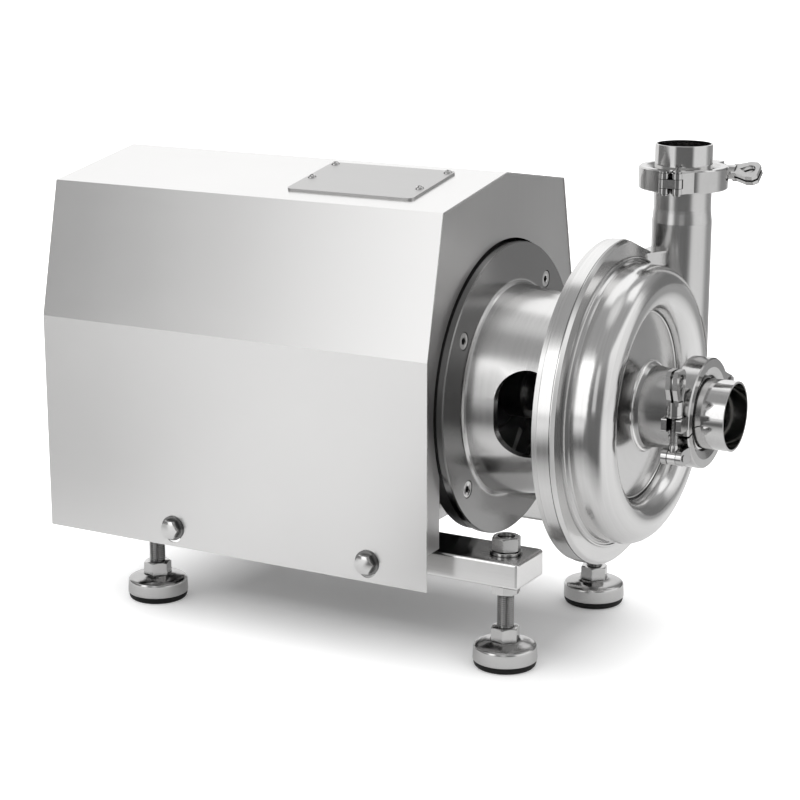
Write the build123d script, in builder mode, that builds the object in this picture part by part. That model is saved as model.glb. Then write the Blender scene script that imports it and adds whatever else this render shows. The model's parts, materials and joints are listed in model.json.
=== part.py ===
from build123d import *
import math
import os

os.makedirs("parts", exist_ok=True)

# Frame: millimetres, +X along the shaft towards the suction port, +Z up, floor at z = 0.
# The origin is on the floor, under the middle of the whole envelope.

# Overall layout along the shaft
shroud_length = 425.0
port_reach = 230.3
gland_reach = 22.0
front_x = (shroud_length + gland_reach - port_reach) / 2
rear_x = front_x - shroud_length
axis_z = 236.0
shaft_axis = Axis((0, 0, axis_z), (1, 0, 0))
fit_gap = 0.05
free_gap = 0.3

# Chassis bars and levelling feet
foot_front_x = front_x + 52.9
foot_pitch = 389.7
foot_rear_x = foot_front_x - foot_pitch
foot_y = 100.0
bar_width = 55.0
bar_height = 25.0
bar_bottom = 83.5
bar_top = bar_bottom + bar_height
bar_overhang = 24.8
bar_edge_r = 3.0
stud_r = 8.0
stud_top = 121.5
stud_hole_r = 9.0
nut_flats = 24.0
nut_height = 13.0
rail_washer_r = 15.0
rail_washer_t = 3.0
base_r = 30.0
base_top = 25.0
base_side_bottom = 7.0
base_side_top = 19.5
base_wall = 2.0
pad_r = 29.2
hex_height = 13.0

# Shroud
wall_y = 154.7
wall_bottom = 77.5
crease_z = 290.3
eave_y = 126.2
eave_z = 419.5
ridge_z = 440.3
sheet = 1.5
fold_r = 3.0
panel_inset = 0.6
panel_bottom = 112.0
arch_r = 141.5
leg_y = 129.5
slot_width = 19.0
slot_bottom = 81.4
slot_top = 107.0
wall_bolt_front = front_x - 61.8
wall_bolt_pitch = 215.8
wall_bolt_rear = wall_bolt_front - wall_bolt_pitch
bolt_head_flats = 17.0
bolt_head_h = 6.5
bolt_shank_r = 5.0
wall_washer_r = 12.0
wall_washer_t = 2.0
bracket_width = 34.0
roof_slope = math.degrees(math.atan2(ridge_z - eave_z, eave_y))
plate_x = front_x - 111.5
plate_length = 133.0
plate_depth = 87.0
plate_centre_y = -58.0
plate_t = 2.0
plate_corner_r = 5.0
screw_head_r = 4.2
screw_head_h = 2.4
gland_y = -70.0
gland_z = 140.0
vent_rows = 7
vent_pitch = 14.0
vent_length = 90.0
vent_width = 6.0
vent_columns = 120.0

# Motor
motor_face_x = front_x + 0.6
motor_flange_r = 137.0
motor_flange_t = 14.0
spigot_r = 90.0
spigot_h = 4.0
shield_length = 40.0
frame_length = 190.0
frame_r = 98.0
frame_wall = 10.0
frame_bore_r = frame_r - frame_wall
fin_height = 10.0
fin_tip_r = frame_r + fin_height
fin_t = 3.5
fin_count = 20
rear_shield_t = 20.0
cowl_length = 62.0
motor_foot_front = motor_face_x - 70.0
motor_foot_pitch = 140.0
motor_foot_bottom = 124.0
motor_foot_t = 12.0
motor_shaft_r = 14.0
bearing_seat_r = 15.0
core_shaft_r = 18.0
bearing_r = 31.0
bearing_w = 16.0
core_length = 110.0
core_bore_r = 57.0
air_gap = 0.5

# Adapter between motor and pump
adapter_flange_r = 138.8
adapter_flange_t = 6.8
drum_r_rear = 100.0
drum_r_front = 89.5
drum_wall = 8.0
drum_front_x = motor_face_x + 91.4
adapter_front_t = 8.0
adapter_front_r = 118.0
window_left_x = front_x + 36.4
window_width = 56.0
window_height = 81.0
flange_screw_pcd_r = 117.5
flange_screw_angles = (52.0, 147.0, 221.0, 308.0)
flange_screw_r = 8.0
sink_depth = 4.5
sink_room = 0.5
rib_t = 8.0
rib_angles = (50, 130, 230, 310)
rib_inner_r = 36.0
rib_front_x = front_x + 30.0

# Casing, back plate and port positions
back_x = drum_front_x + adapter_front_t
back_flange_t = 4.6
back_flange_r = 150.2
back_spigot_t = 4.0
back_spigot_r = 136.0
boss_r = 33.0
boss_bore_r = 24.0
boss_depth = 13.5
rim_r = 151.2
rim_t = 16.4
rim_chamfer = 2.8
rim_flat_r = 143.0
rim_flat_angle = 70.0
bead_r = 134.4
bead_w = 2.0
bead_h = 1.6
volute_mid_x = front_x + 139.5
volute_mid_r = 108.3
volute_tube_r = 20.5
casing_wall = 2.5
neck_x = front_x + 147.0
neck_r = 39.0
neck_to_joint = 11.5
suction_stub_length = 34.8
suction_joint_x = front_x + port_reach - suction_stub_length
discharge_x = front_x + 133.6
discharge_tube_r = 28.2
discharge_y = volute_mid_r + volute_tube_r - discharge_tube_r
swage_bottom_z = 391.0
swage_top_z = 404.0
discharge_joint_z = 432.8
discharge_top_z = 463.8
lug_y = 46.8
lug_top_z = 367.0
lug_plate_t = 2.0
lug_wall_inset = 1.2
outlet_trim_r = 113.5
outlet_wall = 3.5

# Sanitary ferrule joints
gasket_half = 1.0
ferrule_rim_t = 2.85
ferrule_slope = math.tan(math.radians(20))
tube_wall = 2.0
suction_tube_r = 32.0
suction_rim_r = 38.75
outlet_tube_r = 27.0
outlet_rim_r = 32.0

# Rotor and seal
impeller_r = 84.0
impeller_disc_t = 4.0
impeller_hub_r = 20.0
vane_count = 6
vane_t = 3.5
pump_shaft_r = 12.5
coupling_r = 26.0
sleeve_r = 19.0
seal_seat_r = 20.0
seal_face_r = 18.5

# Hinged clamps: what both have alike
groove_play = 0.34
clamp_bolt_r = 4.0
clamp_pin_r = 3.0
eye_r = 6.5
eye_half_w = 4.2
prong_gap = 4.4
prong_reach = 9.5
link_half_w = 4.0
cut_gap = 2.0
clamp_washer_r = 7.6
clamp_washer_t = 2.0
collar_r = 7.2
collar_h = 12.0
slot_room = 2.2
ear_inner = 1.2
ear_outer = 5.4
ear_half_w = 10.5
ear_hole_r = 5.5
ear_waist = 0.6
ear_root = 3.0
ear_flare_start = 2.0
ear_flare_end = 12.0
ear_bevel_w = 3.5
ear_bevel_h = 4.0
ear_hole_drop = 9.0
ear_tip_drop = 11.0
groove_room = 0.6
jaw_chamfer = 1.2
gasket_inset = 0.4
link_wall = 2.2
knuckle_room = 0.5
prong_wall = 0.5
eye_room = 0.6
eye_pin_reach = 0.8
pin_head_h = 1.6
pin_head_lip = 1.0
block_reach = 8.0
block_depth = 13.0
block_round = 2.0
shank_inset = 1.0

# Suction clamp, in its own frame (see the clamp section)
suction_jaw_r = 50.5
suction_jaw_half_w = 10.0
suction_face_r = 42.0
suction_lip_r = 34.7
suction_lip_z = 7.5
suction_bolt_x = 59.0
suction_eye_y = -28.0
suction_seat_y = 9.0
suction_bolt_cut = -13.0
suction_hinge_cut = 167.0
suction_hinge_r = 57.0
suction_pin_half = 6.5
suction_nut_reach = 42.0
suction_nut_turn = 0.0

# Discharge clamp
outlet_jaw_r = 41.7
outlet_jaw_half_w = 10.5
outlet_face_r = 35.0
outlet_lip_r = 29.4
outlet_lip_z = 7.0
outlet_bolt_x = 50.0
outlet_eye_y = -13.0
outlet_seat_y = 20.0
outlet_bolt_cut = 3.0
outlet_hinge_cut = 172.0
outlet_hinge_r = 48.5
outlet_pin_half = 6.0
outlet_nut_reach = 37.0
outlet_nut_turn = 35.0


def save(piece, name):
    piece.label = name
    export_step(piece, "parts/" + name + ".step")


def section(points):
    """A closed profile in the shaft's upright plane, as (x, radius) points."""
    with BuildSketch(Plane.XZ) as flat:
        with BuildLine():
            Polyline(*[(x, axis_z + r) for x, r in points], close=True)
        make_face()
    return flat.sketch


def upright(x, y, points):
    """A closed profile for a turned piece that stands on a vertical axis."""
    with BuildSketch(Plane(origin=(x, y, 0), x_dir=(1, 0, 0), z_dir=(0, -1, 0))) as flat:
        with BuildLine():
            Polyline(*points, close=True)
        make_face()
    return flat.sketch


def radial_point(radius, angle):
    """A point (y, z) at a radius and angle round the shaft, from +Y towards +Z."""
    turn = math.radians(angle)
    return radius * math.cos(turn), axis_z + radius * math.sin(turn)


# Chassis bars, with the stud holes
bar_length = foot_pitch + 2 * bar_overhang
bar_mid_x = (foot_front_x + foot_rear_x) / 2
for name, side in (("rail_near", -1), ("rail_far", 1)):
    with BuildPart() as rail:
        with BuildSketch(Plane.XY.offset(bar_bottom)):
            with Locations((bar_mid_x, side * foot_y)):
                Rectangle(bar_length, bar_width)
        extrude(amount=bar_height)
        fillet(rail.edges(), bar_edge_r)
        with BuildSketch(Plane.XY.offset(bar_bottom)):
            with Locations((foot_front_x, side * foot_y), (foot_rear_x, side * foot_y)):
                Circle(stud_hole_r)
        extrude(amount=bar_height, mode=Mode.SUBTRACT)
    save(rail.part, name)

# Cross bars under the motor feet
cross_width = 44.0
cross_reach = 125.0
motor_foot_rear = motor_foot_front - motor_foot_pitch
with BuildPart() as cross_bars:
    with BuildSketch(Plane.XY.offset(bar_top)):
        with Locations((motor_foot_front, 0), (motor_foot_rear, 0)):
            RectangleRounded(cross_width, 2 * cross_reach, 4)
    extrude(amount=motor_foot_bottom - bar_top)
save(cross_bars.part, "cross_bars")

# Levelling feet
feet = (
    ("front_near", foot_front_x, -foot_y),
    ("front_far", foot_front_x, foot_y),
    ("rear_near", foot_rear_x, -foot_y),
    ("rear_far", foot_rear_x, foot_y),
)
hex_r = nut_flats / math.sqrt(3)
for place, x, y in feet:
    upright_axis = Axis((x, y, 0), (0, 0, 1))
    with BuildPart() as stud:
        with BuildSketch(Plane.XY.offset(base_top)):
            with Locations((x, y)):
                RegularPolygon(hex_r, 6)
        extrude(amount=hex_height)
        with BuildSketch(Plane.XY.offset(base_top)):
            with Locations((x, y)):
                Circle(stud_r)
        extrude(amount=stud_top - base_top)
        chamfer(stud.faces().sort_by(Axis.Z)[-1].edges(), 1.2)
        cap_points = [
            (0, base_top),
            (hex_r, base_top),
            (base_r - 3, base_side_top + 2.6),
            (base_r - 0.8, base_side_top + 1.3),
            (base_r - 0.4, base_side_top - 1),
            (base_r, base_side_bottom),
            (base_r - base_wall, base_side_bottom),
            (base_r - base_wall, base_side_top - 1),
            (base_r - 4, base_side_top),
            (hex_r, base_top - base_wall),
            (0, base_top - base_wall),
        ]
        revolve(upright(x, y, cap_points), axis=upright_axis)
    save(stud.part, "foot_stud_" + place)

    pad_inner_r = base_r - base_wall - fit_gap
    pad_points = [
        (0, 0),
        (pad_r - 4, 0),
        (pad_r - 1.2, 1.2),
        (pad_r, 4),
        (pad_r, base_side_bottom),
        (pad_inner_r, base_side_bottom),
        (pad_inner_r, base_side_top - 1.5),
        (base_r - 4.4, base_side_top - 0.3),
        (hex_r, base_top - base_wall - 0.1),
        (0, base_top - base_wall),
    ]
    with BuildPart() as pad:
        revolve(upright(x, y, pad_points), axis=upright_axis)
    save(pad.part, "foot_pad_" + place)

# Nuts and washers on the studs
nut_bore_r = stud_r + fit_gap
with BuildPart() as rail_nuts:
    for place, x, y in feet:
        for bottom in (bar_bottom - nut_height, bar_top + rail_washer_t):
            with BuildSketch(Plane.XY.offset(bottom)):
                with Locations((x, y)):
                    RegularPolygon(hex_r, 6)
            extrude(amount=nut_height)
    with BuildSketch(Plane.XY.offset(bar_top)):
        with Locations(*[(x, y) for place, x, y in feet]):
            Circle(rail_washer_r)
    extrude(amount=rail_washer_t)
    with BuildSketch(Plane.XY.offset(bar_bottom - nut_height)):
        with Locations(*[(x, y) for place, x, y in feet]):
            Circle(nut_bore_r)
    extrude(amount=bar_height + 2 * nut_height + rail_washer_t, mode=Mode.SUBTRACT)
save(rail_nuts.part, "rail_nuts")

# Shroud sheet, folded round the motor and open underneath
skin_line = [
    (-wall_y, wall_bottom),
    (-wall_y, crease_z),
    (-eave_y, eave_z),
    (0, ridge_z),
    (eave_y, eave_z),
    (wall_y, crease_z),
    (wall_y, wall_bottom),
]
with BuildPart() as skin:
    with BuildSketch(Plane.YZ.offset(rear_x)):
        with BuildLine():
            Polyline(*skin_line)
            offset(amount=-sheet, side=Side.RIGHT)
        make_face()
    extrude(amount=shroud_length)
    folds = skin.edges().filter_by(Axis.X).filter_by(lambda edge: edge.center().Z > wall_bottom + 1)
    fillet(folds.sort_by(Axis.Z)[-1], fold_r * 4)
    with BuildSketch(Plane.XZ.offset(-2 * wall_y)):
        with Locations(*[(x, (slot_bottom + slot_top) / 2) for x in (wall_bolt_front, wall_bolt_rear)]):
            SlotOverall(slot_top - slot_bottom, slot_width, rotation=90)
    extrude(amount=4 * wall_y, mode=Mode.SUBTRACT)
    roof_plane = Plane(
        origin=(plate_x, plate_centre_y, ridge_z + plate_centre_y * math.tan(math.radians(roof_slope))),
        x_dir=(1, 0, 0),
        z_dir=(0, -math.sin(math.radians(roof_slope)), math.cos(math.radians(roof_slope))),
    )
    with BuildSketch(roof_plane.offset(5)):
        RectangleRounded(plate_length - 28, plate_depth - 28, 4)
    extrude(amount=-10, mode=Mode.SUBTRACT)
save(skin.part, "shroud_skin")

# End panels fit inside the folded sheet
gland_hole_r = 10.0
gland_hex_r = 15.0
gland_hex_h = 9.0
gland_bore_r = 5.0
with BuildPart() as front_panel:
    with BuildSketch(Plane.YZ.offset(front_x - panel_inset - sheet)):
        with BuildLine():
            Polyline(*skin_line, close=True)
        make_face()
        offset(amount=-sheet - fit_gap, kind=Kind.INTERSECTION, mode=Mode.REPLACE)
        with Locations((0, wall_bottom)):
            Rectangle(2 * wall_y, 2 * (panel_bottom - wall_bottom), mode=Mode.SUBTRACT)
        with Locations((0, axis_z)):
            Circle(arch_r, mode=Mode.SUBTRACT)
        with Locations((0, axis_z / 2)):
            Rectangle(2 * leg_y, axis_z, mode=Mode.SUBTRACT)
    extrude(amount=sheet)
save(front_panel.part, "shroud_front_panel")

with BuildPart() as rear_panel:
    with BuildSketch(Plane.YZ.offset(rear_x + panel_inset)):
        with BuildLine():
            Polyline(*skin_line, close=True)
        make_face()
        offset(amount=-sheet - fit_gap, kind=Kind.INTERSECTION, mode=Mode.REPLACE)
        with Locations((0, wall_bottom)):
            Rectangle(2 * wall_y, 2 * (panel_bottom - wall_bottom), mode=Mode.SUBTRACT)
        with Locations((0, axis_z)):
            with GridLocations(vent_columns, vent_pitch, 2, vent_rows):
                SlotOverall(vent_length, vent_width, mode=Mode.SUBTRACT)
        with Locations((gland_y, gland_z)):
            Circle(gland_hole_r, mode=Mode.SUBTRACT)
    extrude(amount=sheet)
save(rear_panel.part, "shroud_rear_panel")

# Access plate with its screws, on the near slope of the roof
with BuildPart() as access_plate:
    with BuildSketch(roof_plane):
        RectangleRounded(plate_length, plate_depth, plate_corner_r)
    extrude(amount=plate_t)
save(access_plate.part, "access_plate")

screw_inset = 6.0
plate_screws = (
    (-plate_length / 2 + screw_inset, plate_depth / 2 - screw_inset),
    (-plate_length / 2 + screw_inset, -screw_inset),
    (plate_length / 2 - screw_inset, plate_depth / 2 - screw_inset),
    (plate_length / 2 - screw_inset - 2, -2.3 * screw_inset),
)
with BuildPart() as access_screws:
    with BuildSketch(roof_plane.offset(plate_t)):
        with Locations(*plate_screws):
            Circle(screw_head_r)
    extrude(amount=screw_head_h, taper=18)
save(access_screws.part, "access_screws")

# Brackets, bolts and washers that hold the side walls to the bars
bar_side_y = foot_y + bar_width / 2
bracket_hole_z = (bar_bottom + bar_top) / 2
with BuildPart() as brackets:
    for side in (-1, 1):
        with BuildSketch(Plane.XZ.offset(-side * bar_side_y)):
            with Locations(*[(x, bracket_hole_z) for x in (wall_bolt_front, wall_bolt_rear)]):
                RectangleRounded(bracket_width, bar_height - 5, 3)
                Circle(bolt_shank_r + fit_gap, mode=Mode.SUBTRACT)
        extrude(amount=-side * (wall_y - sheet - bar_side_y))
save(brackets.part, "shroud_brackets")

bolt_hex_r = bolt_head_flats / math.sqrt(3)
with BuildPart() as shroud_bolts:
    for side in (-1, 1):
        with BuildSketch(Plane.XZ.offset(-side * (wall_y + wall_washer_t))):
            with Locations(*[(x, bracket_hole_z) for x in (wall_bolt_front, wall_bolt_rear)]):
                RegularPolygon(bolt_hex_r, 6, rotation=30)
        extrude(amount=-side * bolt_head_h)
        with BuildSketch(Plane.XZ.offset(-side * (wall_y + wall_washer_t))):
            with Locations(*[(x, bracket_hole_z) for x in (wall_bolt_front, wall_bolt_rear)]):
                Circle(bolt_shank_r)
        extrude(amount=side * (wall_y + wall_washer_t - bar_side_y))
        with BuildSketch(Plane.XZ.offset(-side * wall_y)):
            with Locations(*[(x, bracket_hole_z) for x in (wall_bolt_front, wall_bolt_rear)]):
                Circle(wall_washer_r)
        extrude(amount=-side * wall_washer_t)
save(shroud_bolts.part, "shroud_bolts")

# Cable gland through the rear panel, with its lock nut inside
with BuildPart() as cable_gland:
    with BuildSketch(Plane.YZ.offset(rear_x + panel_inset)):
        with Locations((gland_y, gland_z)):
            Circle(gland_hole_r - fit_gap)
    extrude(amount=sheet)
    with BuildSketch(Plane.YZ.offset(rear_x - gland_hex_h)):
        with Locations((gland_y, gland_z)):
            RegularPolygon(gland_hex_r, 6)
    extrude(amount=gland_hex_h + panel_inset)
    with BuildSketch(Plane.YZ.offset(rear_x - gland_hex_h)):
        with Locations((gland_y, gland_z)):
            Circle(gland_hex_r - 2.6)
    extrude(amount=gland_hex_h - gland_reach, taper=16)
    with BuildSketch(Plane.YZ.offset(rear_x + panel_inset + sheet)):
        with Locations((gland_y, gland_z)):
            RegularPolygon(gland_hex_r, 6)
    extrude(amount=gland_hex_h / 2)
    with BuildSketch(Plane.YZ.offset(rear_x - gland_reach)):
        with Locations((gland_y, gland_z)):
            Circle(gland_bore_r)
    extrude(amount=2 * gland_reach, mode=Mode.SUBTRACT)
save(cable_gland.part, "cable_gland")

# Motor positions along the shaft, from the mounting face backwards
shield_back_x = motor_face_x - shield_length
frame_back_x = shield_back_x - frame_length
rear_shield_x = frame_back_x - rear_shield_t
cowl_back_x = rear_shield_x - cowl_length
bearing_front_x = motor_face_x - 8
flange_back_x = motor_face_x - motor_flange_t

with BuildPart() as front_shield:
    revolve(section([
        (shield_back_x, frame_r + 2),
        (flange_back_x - 8, frame_r + 8),
        (flange_back_x, frame_r + 18),
        (flange_back_x, motor_flange_r),
        (motor_face_x, motor_flange_r),
        (motor_face_x, spigot_r),
        (motor_face_x + spigot_h, spigot_r),
        (motor_face_x + spigot_h, spigot_r - 9),
        (motor_face_x - 4, spigot_r - 14),
        (motor_face_x - 4, bearing_r + 10),
        (motor_face_x - 1, bearing_r + 5),
        (motor_face_x - 1, bearing_seat_r + 1),
        (bearing_front_x, bearing_seat_r + 1),
        (bearing_front_x, bearing_r),
        (bearing_front_x - bearing_w, bearing_r),
        (bearing_front_x - bearing_w, bearing_r + 8),
        (motor_face_x - 14, spigot_r - 18),
        (shield_back_x, frame_bore_r),
    ]), axis=shaft_axis)
    with BuildSketch(Plane.YZ.offset(shield_back_x)):
        with Locations(*[radial_point(flange_screw_pcd_r, a) for a in flange_screw_angles]):
            Circle(bolt_shank_r + fit_gap)
    extrude(amount=motor_face_x - shield_back_x, mode=Mode.SUBTRACT)
save(front_shield.part, "motor_front_shield")

# Finned motor frame with its feet
fin_mid_r = (frame_r + fin_tip_r) / 2 - 1
foot_toe_y = frame_r + 16
foot_width = 54.0
foot_length = 36.0
foot_side_r = frame_r - 4
foot_top_turn = math.radians(31)
foot_low_turn = math.radians(52)
foot_top = (foot_side_r * math.cos(foot_top_turn), foot_side_r * math.sin(foot_top_turn))
foot_low = (foot_side_r * math.cos(foot_low_turn), foot_side_r * math.sin(foot_low_turn))
with BuildPart() as motor_frame:
    with BuildSketch(Plane.YZ.offset(frame_back_x)):
        with Locations((0, axis_z)):
            Circle(frame_r)
            with PolarLocations(fin_mid_r, fin_count // 2, -34, 84):
                Rectangle(fin_tip_r - frame_r + 2, fin_t)
            with PolarLocations(fin_mid_r, fin_count // 2, 130, 84):
                Rectangle(fin_tip_r - frame_r + 2, fin_t)
    extrude(amount=frame_length)
    for foot_x in (motor_foot_front, motor_foot_rear):
        for side in (-1, 1):
            with BuildSketch(Plane.YZ.offset(foot_x - foot_length / 2)):
                with BuildLine():
                    Polyline(
                        (side * (foot_toe_y - foot_width), motor_foot_bottom),
                        (side * foot_toe_y, motor_foot_bottom),
                        (side * foot_toe_y, motor_foot_bottom + motor_foot_t),
                        (side * (foot_toe_y - 20), motor_foot_bottom + motor_foot_t + 4),
                        (side * foot_top[0], axis_z - foot_top[1]),
                        (side * foot_low[0], axis_z - foot_low[1]),
                        close=True,
                    )
                make_face()
            extrude(amount=foot_length)
    with BuildSketch(Plane.YZ.offset(frame_back_x)):
        with Locations((0, axis_z)):
            Circle(frame_bore_r)
    extrude(amount=frame_length, mode=Mode.SUBTRACT)
save(motor_frame.part, "motor_frame")

with BuildPart() as rear_shield:
    revolve(section([
        (frame_back_x, frame_bore_r),
        (frame_back_x, frame_r),
        (rear_shield_x + 4, frame_r),
        (rear_shield_x, frame_r - 6),
        (rear_shield_x, bearing_seat_r + 1),
        (rear_shield_x + 3, bearing_seat_r + 1),
        (rear_shield_x + 3, bearing_r),
        (rear_shield_x + 3 + bearing_w, bearing_r),
        (rear_shield_x + 3 + bearing_w, bearing_r + 8),
        (rear_shield_x + 10, bearing_r + 14),
        (rear_shield_x + 10, frame_bore_r - 8),
    ]), axis=shaft_axis)
save(rear_shield.part, "motor_rear_shield")

cowl_start_x = rear_shield_x + 12
cowl_wall = 2.0
grille_slots = 12
grille_mid_r = 56.0
grille_length = 56.0
grille_width = 10.0
with BuildPart() as cowl:
    with BuildSketch(Plane.YZ.offset(cowl_back_x)):
        with Locations((0, axis_z)):
            Circle(frame_r + fit_gap + cowl_wall)
    extrude(amount=cowl_start_x - cowl_back_x)
    with BuildSketch(Plane.YZ.offset(cowl_back_x + cowl_wall)):
        with Locations((0, axis_z)):
            Circle(frame_r + fit_gap)
    extrude(amount=cowl_start_x - cowl_back_x, mode=Mode.SUBTRACT)
    with BuildSketch(Plane.YZ.offset(cowl_back_x)):
        with Locations((0, axis_z)):
            with PolarLocations(grille_mid_r, grille_slots):
                SlotOverall(grille_length, grille_width)
    extrude(amount=cowl_wall, mode=Mode.SUBTRACT)
save(cowl.part, "fan_cowl")

# Terminal box on top of the motor, under the access plate
box_x = motor_face_x - 120
box_bottom_z = axis_z + frame_r - 5
box_length = 98.0
box_width = 90.0
box_height = 46.0
box_neck_h = 16.0
box_wall = 4.0
box_gland_z = box_bottom_z + 32
with BuildPart() as terminal_box:
    with BuildSketch(Plane.XY.offset(box_bottom_z)):
        with Locations((box_x, 0)):
            Rectangle(box_length - 24, box_width - 30)
    extrude(amount=box_neck_h + 2)
    with BuildSketch(Plane.XY.offset(box_bottom_z + box_neck_h)):
        with Locations((box_x, 0)):
            RectangleRounded(box_length, box_width, 8)
    extrude(amount=box_height - box_neck_h)
    with BuildSketch(Plane.XY.offset(box_bottom_z + box_neck_h + box_wall)):
        with Locations((box_x, 0)):
            RectangleRounded(box_length - 2 * box_wall, box_width - 2 * box_wall, 5)
    extrude(amount=box_height, mode=Mode.SUBTRACT)
    with BuildSketch(Plane.YZ.offset(frame_back_x)):
        with Locations((0, axis_z)):
            Circle(frame_r)
    extrude(amount=frame_length, mode=Mode.SUBTRACT)
    with BuildSketch(Plane.YZ.offset(box_x - box_length / 2)):
        with Locations((0, box_gland_z)):
            RegularPolygon(gland_hex_r - 3, 6)
    extrude(amount=-gland_hex_h)
    with BuildSketch(Plane.YZ.offset(box_x - box_length / 2 - gland_hex_h)):
        with Locations((0, box_gland_z)):
            Circle(gland_hex_r - 6)
    extrude(amount=-gland_hex_h, taper=12)
save(terminal_box.part, "terminal_box")

with BuildPart() as terminal_lid:
    with BuildSketch(Plane.XY.offset(box_bottom_z + box_height)):
        with Locations((box_x, 0)):
            RectangleRounded(box_length + 2, box_width + 2, 9)
    extrude(amount=5)
save(terminal_lid.part, "terminal_lid")

# Stator, rotor core, bearings and fan
core_mid_x = (shield_back_x + frame_back_x) / 2
core_rear_x = core_mid_x - core_length / 2
core_front_x = core_mid_x + core_length / 2
with BuildPart() as stator_core:
    with BuildSketch(Plane.YZ.offset(core_rear_x)):
        with Locations((0, axis_z)):
            Circle(frame_bore_r)
            Circle(core_bore_r, mode=Mode.SUBTRACT)
    extrude(amount=core_length)
save(stator_core.part, "stator_core")

winding_reach = 24.0
with BuildPart() as windings:
    for x, way in ((core_front_x, 1), (core_rear_x, -1)):
        revolve(section([
            (x, core_bore_r + 3),
            (x, frame_bore_r - 8),
            (x + way * winding_reach * 0.7, frame_bore_r - 7),
            (x + way * winding_reach, frame_bore_r - 12),
            (x + way * winding_reach, core_bore_r + 7),
            (x + way * winding_reach * 0.7, core_bore_r + 3),
        ]), axis=shaft_axis)
save(windings.part, "stator_windings")

with BuildPart() as bearings:
    for x in (bearing_front_x - bearing_w, rear_shield_x + 3):
        with BuildSketch(Plane.YZ.offset(x)):
            with Locations((0, axis_z)):
                Circle(bearing_r)
                Circle(bearing_seat_r + fit_gap, mode=Mode.SUBTRACT)
        extrude(amount=bearing_w)
save(bearings.part, "motor_bearings")

ring_reach = 10.0
with BuildPart() as rotor_core:
    revolve(section([
        (core_rear_x - ring_reach, core_shaft_r + 14),
        (core_rear_x - ring_reach, core_bore_r - 6),
        (core_rear_x, core_bore_r - 5),
        (core_rear_x, core_bore_r - air_gap),
        (core_front_x, core_bore_r - air_gap),
        (core_front_x, core_bore_r - 5),
        (core_front_x + ring_reach, core_bore_r - 6),
        (core_front_x + ring_reach, core_shaft_r + 14),
        (core_front_x, core_shaft_r + 14),
        (core_front_x, core_shaft_r),
        (core_rear_x, core_shaft_r),
        (core_rear_x, core_shaft_r + 14),
    ]), axis=shaft_axis)
save(rotor_core.part, "rotor_core")

shaft_end_x = motor_face_x + 60
fan_shaft_r = 12.5
fan_x = rear_shield_x - 44
with BuildPart() as motor_shaft:
    revolve(section([
        (fan_x, 0),
        (fan_x, fan_shaft_r),
        (rear_shield_x + 2, fan_shaft_r),
        (rear_shield_x + 2, bearing_seat_r),
        (core_rear_x, bearing_seat_r),
        (core_rear_x, core_shaft_r),
        (core_front_x, core_shaft_r),
        (core_front_x, bearing_seat_r),
        (motor_face_x - 5, bearing_seat_r),
        (motor_face_x - 5, motor_shaft_r),
        (shaft_end_x, motor_shaft_r),
        (shaft_end_x, 0),
    ]), axis=shaft_axis)
save(motor_shaft.part, "motor_shaft")

fan_hub_r = 21.0
fan_r = 88.0
with BuildPart() as fan:
    with BuildSketch(Plane.YZ.offset(fan_x + 2)):
        with Locations((0, axis_z)):
            Circle(fan_hub_r)
            with PolarLocations((fan_hub_r + fan_r) / 2 - 1, 8):
                Rectangle(fan_r - fan_hub_r + 2, 3)
    extrude(amount=26)
    with BuildSketch(Plane.YZ.offset(fan_x + 28)):
        with Locations((0, axis_z)):
            Circle(fan_r - 20)
    extrude(amount=3)
    with BuildSketch(Plane.YZ.offset(fan_x)):
        with Locations((0, axis_z)):
            Circle(fan_shaft_r)
    extrude(amount=40, mode=Mode.SUBTRACT)
save(fan.part, "cooling_fan")

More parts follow.
